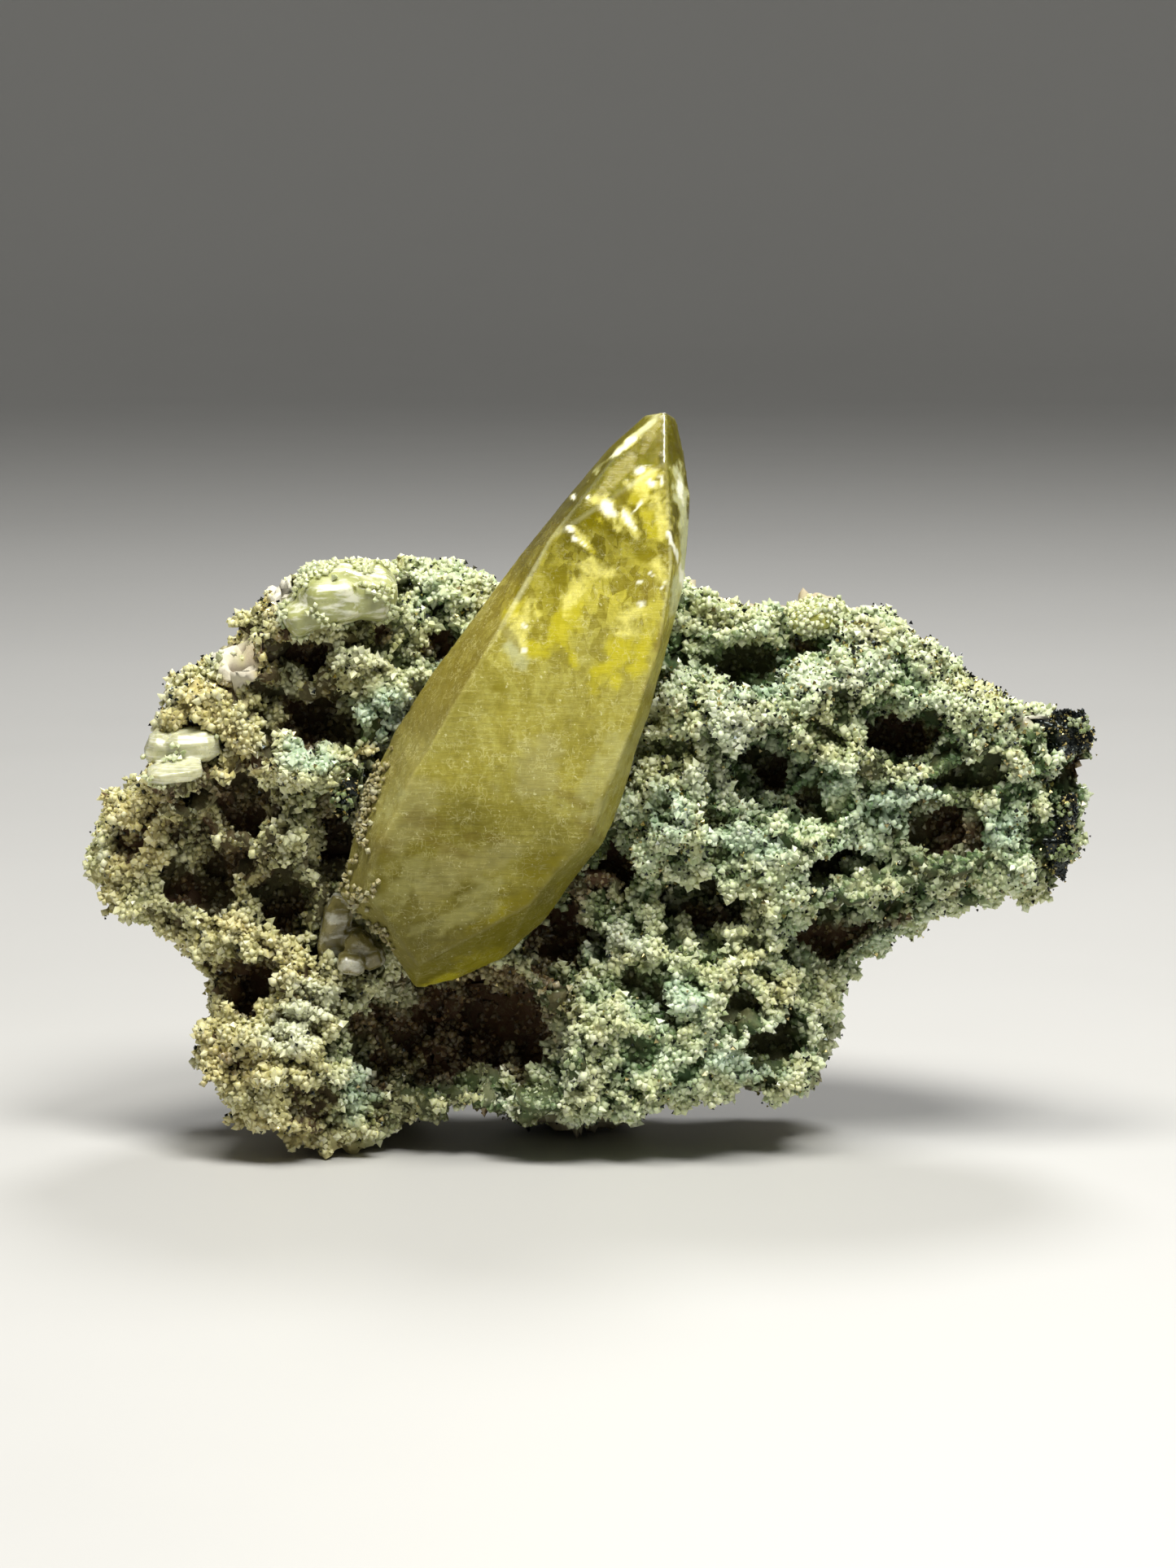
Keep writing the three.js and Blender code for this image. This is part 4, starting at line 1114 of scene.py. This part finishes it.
def edge_nearness(mesh, node, width):
    """How near each corner is to a sharp edge of the node's solid: 1 on it and 0 beyond the width."""
    solid = bmesh.new()
    solid.from_mesh(merged_copy(node))
    sharp = [e for e in solid.edges if len(e.link_faces) == 2 and e.calc_face_angle() > math.radians(13)]
    corners = corners_of(mesh)
    nearest = np.full(len(corners), 1.0)
    for edge in sharp:
        start, end = (np.array(v.co) for v in edge.verts)
        along = end - start
        part = np.clip((corners - start) @ along / (along @ along), 0, 1)
        gap = np.linalg.norm(corners - start - part[:, None] * along, axis=1)
        nearest = np.minimum(nearest, gap)
    solid.free()
    return 1 - ramp(nearest, 0, width)


def crisp_crystal(node, step, rounding):
    """A node's solid, evenly divided, with its flat faces true and its edges only slightly rounded."""
    solid = merged_copy(node)
    faces = [tuple(polygon.vertices) for polygon in solid.polygons]
    flat = BVHTree.FromPolygons([v.co.copy() for v in solid.vertices], faces)
    mesh = evenly_divided(solid.copy(), step)
    corners = np.array([flat.find_nearest(Vector(corner))[0] for corner in corners_of(mesh)])
    put_corners(mesh, relaxed(corners, edge_pairs(mesh), rounding))
    return mesh


def large_crystal_mesh(crystal):
    """The large crystal with its etched marks, and the numbers that its finish reads."""
    mesh = crisp_crystal("calcite_crystal", crystal.crystal_step, 2)
    corners = corners_of(mesh)
    # Bounds along the crystal are in the photograph's pixels down, swayed so that they aren't straight.
    pixels = photo_pixels(corners)
    down = pixels[:, 1] + 46 * cloud(corners, 7 * MM, 51) + 20 * cloud(corners, 2.5 * MM, 52)
    store(mesh, "milk", ramp(down, 700, 880))
    # The lower left faces get painted shade; it is stored with the darker lower end.
    left = (1 - ramp(pixels[:, 0] + 0.55 * (pixels[:, 1] - 900), 470, 620)) * ramp(down, 760, 900)
    store(mesh, "foot", np.maximum(ramp(down, 960, 1080), 0.7 * left))
    store(mesh, "clear", (1 - ramp(down, 590, 740)) * 0.85 + 0.15 * ramp(down, 1060, 1140))
    store(mesh, "cracked", (1 - ramp(down, 760, 900)) * ramp(down, 540, 640))
    # The marks lie only where the surface faces the photograph.
    toward = np.array(CAMERA_PLACE) - corners
    toward /= np.linalg.norm(toward, axis=1)[:, None]
    front = ramp(np.einsum("ij,ij->i", toward, normals_of(mesh)), -0.02, 0.06)
    for name, places, wander, grain, strength in CRYSTAL_MARKS:
        store(mesh, name, near_marks(corners, places, wander, grain * MM) * strength * front)
    # Painted shade on the faces that turn to the left: brown clouding on them higher up and grey veiling
    # lower down.
    left_facing_shade = 0.6 * ramp(-normals_of(mesh)[:, 0], 0.45, 0.75) * ramp(down, 560, 700)
    store_larger(mesh, "cloud", left_facing_shade * (1 - 0.6 * ramp(down, 860, 960)))
    store_larger(mesh, "veil", 1.2 * left_facing_shade * ramp(down, 820, 920))
    below = ramp(pixels[:, 1] + 0.52 * (pixels[:, 0] - 630) + 10 * cloud(corners, 2.5 * MM, 57), 1122, 1134)
    store(mesh, "bevel", 0.7 * below * front)
    # A painted highlight along the sharp edges, fading out toward the lower end.
    fading = 1 - 0.85 * ramp(down, 720, 820)
    store(mesh, "edge", edge_nearness(mesh, "calcite_crystal", 0.45 * MM) * fading)
    # The etched marks run along the crystal, which leans to the right.
    turn = np.array(Euler((0, 0.45, 0)).to_matrix())
    along = (corners @ turn) * np.array([1.0, 1.0, 0.3])
    etched = 0.7 * np.abs(cloud(along, 1.1 * MM, 53)) + 0.5 * np.abs(cloud(corners, 0.7 * MM, 54))
    pits = 1 - ramp(scattered(corners, 1.9 * MM, 55)[0], 0.12, 0.4)
    depth = crystal.etch_depth * (0.12 + 0.88 * ramp(down, 720, 900))
    waves = 0.3 * MM * cloud(corners, 5 * MM, 56) * ramp(down, 760, 1000)
    pushed_out(mesh, -depth * (etched + 0.6 * pits) + waves)
    return mesh


class SPECIMEN_OT_large_crystal(bpy.types.Operator):
    """Builds the large calcite crystal"""

    bl_idname = "specimen.large_crystal"
    bl_label = "Large calcite crystal"

    def execute(self, context):
        crystal = context.scene.specimen_crystal
        mesh = large_crystal_mesh(crystal)
        shade(mesh, True)
        lower_left = near_marks(corners_of(mesh), GRAINS_ON_FOOT, 0.7, 1.5 * MM)
        sprinkled_grains(context.scene.specimen_crust, mesh.copy(), 0.6, 0.85, 41, "large_crystal_grains",
                         warm=1.0, inside=lower_left)
        finished_piece("large_calcite_crystal", mesh, large_crystal_material(crystal), "calcite",
                       "calcite_crystal")
        return {"FINISHED"}


# Each small group of crystals: its name, its node, its rounding, its tint, clearness and streaks, and the
# share of it that has grains on it.
SMALL_CRYSTALS = [
    ("clear_side_crystals", "calcite_side_crystals", 1, (0.20, 0.17, 0.045), 0.5, 0.6, 0.12),
    ("smooth_top_crystal", "calcite_dome_crystal", 16, (0.33, 0.345, 0.13), 0.08, 1.0, 0.44),
    ("streaked_blade_crystal", "calcite_blade_crystal", 1, (0.56, 0.56, 0.35), 0.3, 8.0, 0.34),
    ("yellow_top_right_crystal", "calcite_top_right_crystal", 6, (0.50, 0.50, 0.12), 0.3, 1.0, 0.5),
]


class SPECIMEN_OT_small_crystals(bpy.types.Operator):
    """Builds the four small groups of calcite crystals"""

    bl_idname = "specimen.small_crystals"
    bl_label = "Small calcite crystals"

    def execute(self, context):
        crust, crystal = context.scene.specimen_crust, context.scene.specimen_crystal
        for seed, (name, node, rounding, tint, clearness, streak, share) in enumerate(SMALL_CRYSTALS):
            mesh = crisp_crystal(node, crystal.small_step, rounding)
            corners = corners_of(mesh)
            grooves = np.abs(cloud(corners * np.array([0.15, 0.6, 1.0]), 0.45 * MM, 61))
            pushed_out(mesh, -0.07 * MM * grooves * min(streak, 2) - 0.05 * MM * cloud(corners, 1.3 * MM, 62))
            shade(mesh, True)
            material = small_crystal_material(crystal, name + "_calcite", tint, clearness, streak)
            sprinkled_grains(crust, mesh.copy(), share, 0.1, seed + 31, name + "_grains")
            finished_piece(name, mesh, material, "calcite_small", node)
        return {"FINISHED"}


# The stage.

def floor_mesh(radius):
    """A level round floor that curves up into a low backdrop all around."""
    rise = 0.45
    profile = [(radius * share, 0.0) for share in np.linspace(0.02, 1, 24)]
    for angle in np.linspace(0, math.pi / 2, 14)[1:]:
        profile.append((radius + rise * math.sin(angle), rise * (1 - math.cos(angle))))
    profile.append((radius + rise, rise + 0.5))
    floor = bmesh.new()
    edges = []
    corners = [floor.verts.new((across, 0, up)) for across, up in profile]
    for start, end in zip(corners, corners[1:]):
        edges.append(floor.edges.new((start, end)))
    bmesh.ops.spin(floor, geom=corners + edges, cent=(0, 0, 0), axis=(0, 0, 1), angle=math.tau, steps=96,
                   use_merge=True)
    middle = floor.verts.new((0, 0, 0))
    rim = sorted((v for v in floor.verts if 0 < v.co.length < radius * 0.03),
                 key=lambda v: math.atan2(v.co.y, v.co.x))
    for start, end in zip(rim, rim[1:] + rim[:1]):
        floor.faces.new((middle, start, end))
    bmesh.ops.recalc_face_normals(floor, faces=floor.faces)
    mesh = bpy.data.meshes.new("floor")
    floor.to_mesh(mesh)
    floor.free()
    if mesh.polygons[-1].normal.z < 0:
        mesh.flip_normals()
    return mesh


def soft_light(name, place, target, size, power, colour=(1, 1, 1)):
    lamp = bpy.data.lights.new(name, "AREA")
    lamp.shape = "DISK"
    lamp.size = size
    lamp.energy = power
    lamp.color = colour
    light = bpy.data.objects.new(name, lamp)
    light.location = place
    light.rotation_euler = (Vector(target) - Vector(place)).to_track_quat("-Z", "Y").to_euler()
    bpy.context.scene.collection.objects.link(light)


def put_camera():
    lens = bpy.data.cameras.new("camera")
    lens.sensor_fit = "VERTICAL"
    lens.sensor_height = SENSOR_HEIGHT
    lens.lens = SENSOR_HEIGHT * FOCAL_PIXELS / PHOTO_SIZE[1]
    lens.clip_start = 0.01
    camera = bpy.data.objects.new("camera", lens)
    camera.location = CAMERA_PLACE
    camera.rotation_euler = (math.pi / 2 - CAMERA_ELEVATION, 0, 0)
    bpy.context.scene.collection.objects.link(camera)
    bpy.context.scene.camera = camera


class SPECIMEN_OT_stage(bpy.types.Operator):
    """Sets up the pale floor, the soft lights and the camera"""

    bl_idname = "specimen.stage"
    bl_label = "Stage"

    def execute(self, context):
        stage = context.scene.specimen_stage
        mesh = floor_mesh(stage.floor_radius)
        shade(mesh, True)
        mesh.materials.append(floor_material(stage))
        show_object("floor", mesh)
        middle = (0, 0, 0.04)
        soft_light("key_light", (-0.10, -0.21, 0.71), middle, 0.32, stage.key_power, (1, 0.98, 0.92))
        soft_light("front_light", (0.19, -0.36, 0.68), middle, 0.3, stage.front_power, (1, 0.99, 0.95))
        soft_light("back_light", (0.10, 0.5, 0.6), middle, 0.25, stage.back_power)
        world = bpy.data.worlds.new("studio")
        world.use_nodes = True
        sky = world.node_tree.nodes["Background"].inputs
        sky["Color"].default_value = (0.9, 0.95, 1, 1)
        sky["Strength"].default_value = stage.surroundings
        context.scene.world = world
        context.scene.view_settings.view_transform = "Standard"
        put_camera()
        return {"FINISHED"}


class SPECIMEN_PT_panel(bpy.types.Panel):
    """Lists the steps that build the specimen"""

    bl_idname = "SPECIMEN_PT_panel"
    bl_label = "Calcite with chalcopyrite"
    bl_space_type = "VIEW_3D"
    bl_region_type = "UI"
    bl_category = "Specimen"

    def draw(self, context):
        for step in STEPS:
            self.layout.operator(step.bl_idname)
        for settings in ("specimen_crust", "specimen_crystal", "specimen_stage"):
            group = getattr(context.scene, settings)
            box = self.layout.box()
            for name in group.__annotations__:
                box.prop(group, name)


SETTINGS = {
    "specimen_crust": CrustSettings, "specimen_crystal": CrystalSettings, "specimen_stage": StageSettings}
STEPS = (SPECIMEN_OT_rock, SPECIMEN_OT_crust, SPECIMEN_OT_chalcopyrite, SPECIMEN_OT_large_crystal,
         SPECIMEN_OT_small_crystals, SPECIMEN_OT_stage)
CLASSES = (*SETTINGS.values(), *STEPS, SPECIMEN_PT_panel)


def register():
    for one in CLASSES:
        bpy.utils.register_class(one)
    for name, group in SETTINGS.items():
        setattr(bpy.types.Scene, name, bpy.props.PointerProperty(type=group))


def unregister():
    for name in SETTINGS:
        delattr(bpy.types.Scene, name)
    for one in reversed(CLASSES):
        bpy.utils.unregister_class(one)


def forget_shapes():
    """Removes the single crystals that were scattered, which aren't pieces of the specimen."""
    for collection in [one for one in bpy.data.collections if one.name.endswith("_shapes")]:
        for shape in list(collection.objects):
            bpy.data.objects.remove(shape)
        bpy.data.collections.remove(collection)
    MADE_ONCE.clear()


def main():
    register()
    bpy.ops.specimen.rock()
    bpy.ops.specimen.crust()
    bpy.ops.specimen.chalcopyrite()
    bpy.ops.specimen.large_crystal()
    bpy.ops.specimen.small_crystals()
    bpy.ops.specimen.stage()
    forget_shapes()


if __name__ == "__main__":
    main()
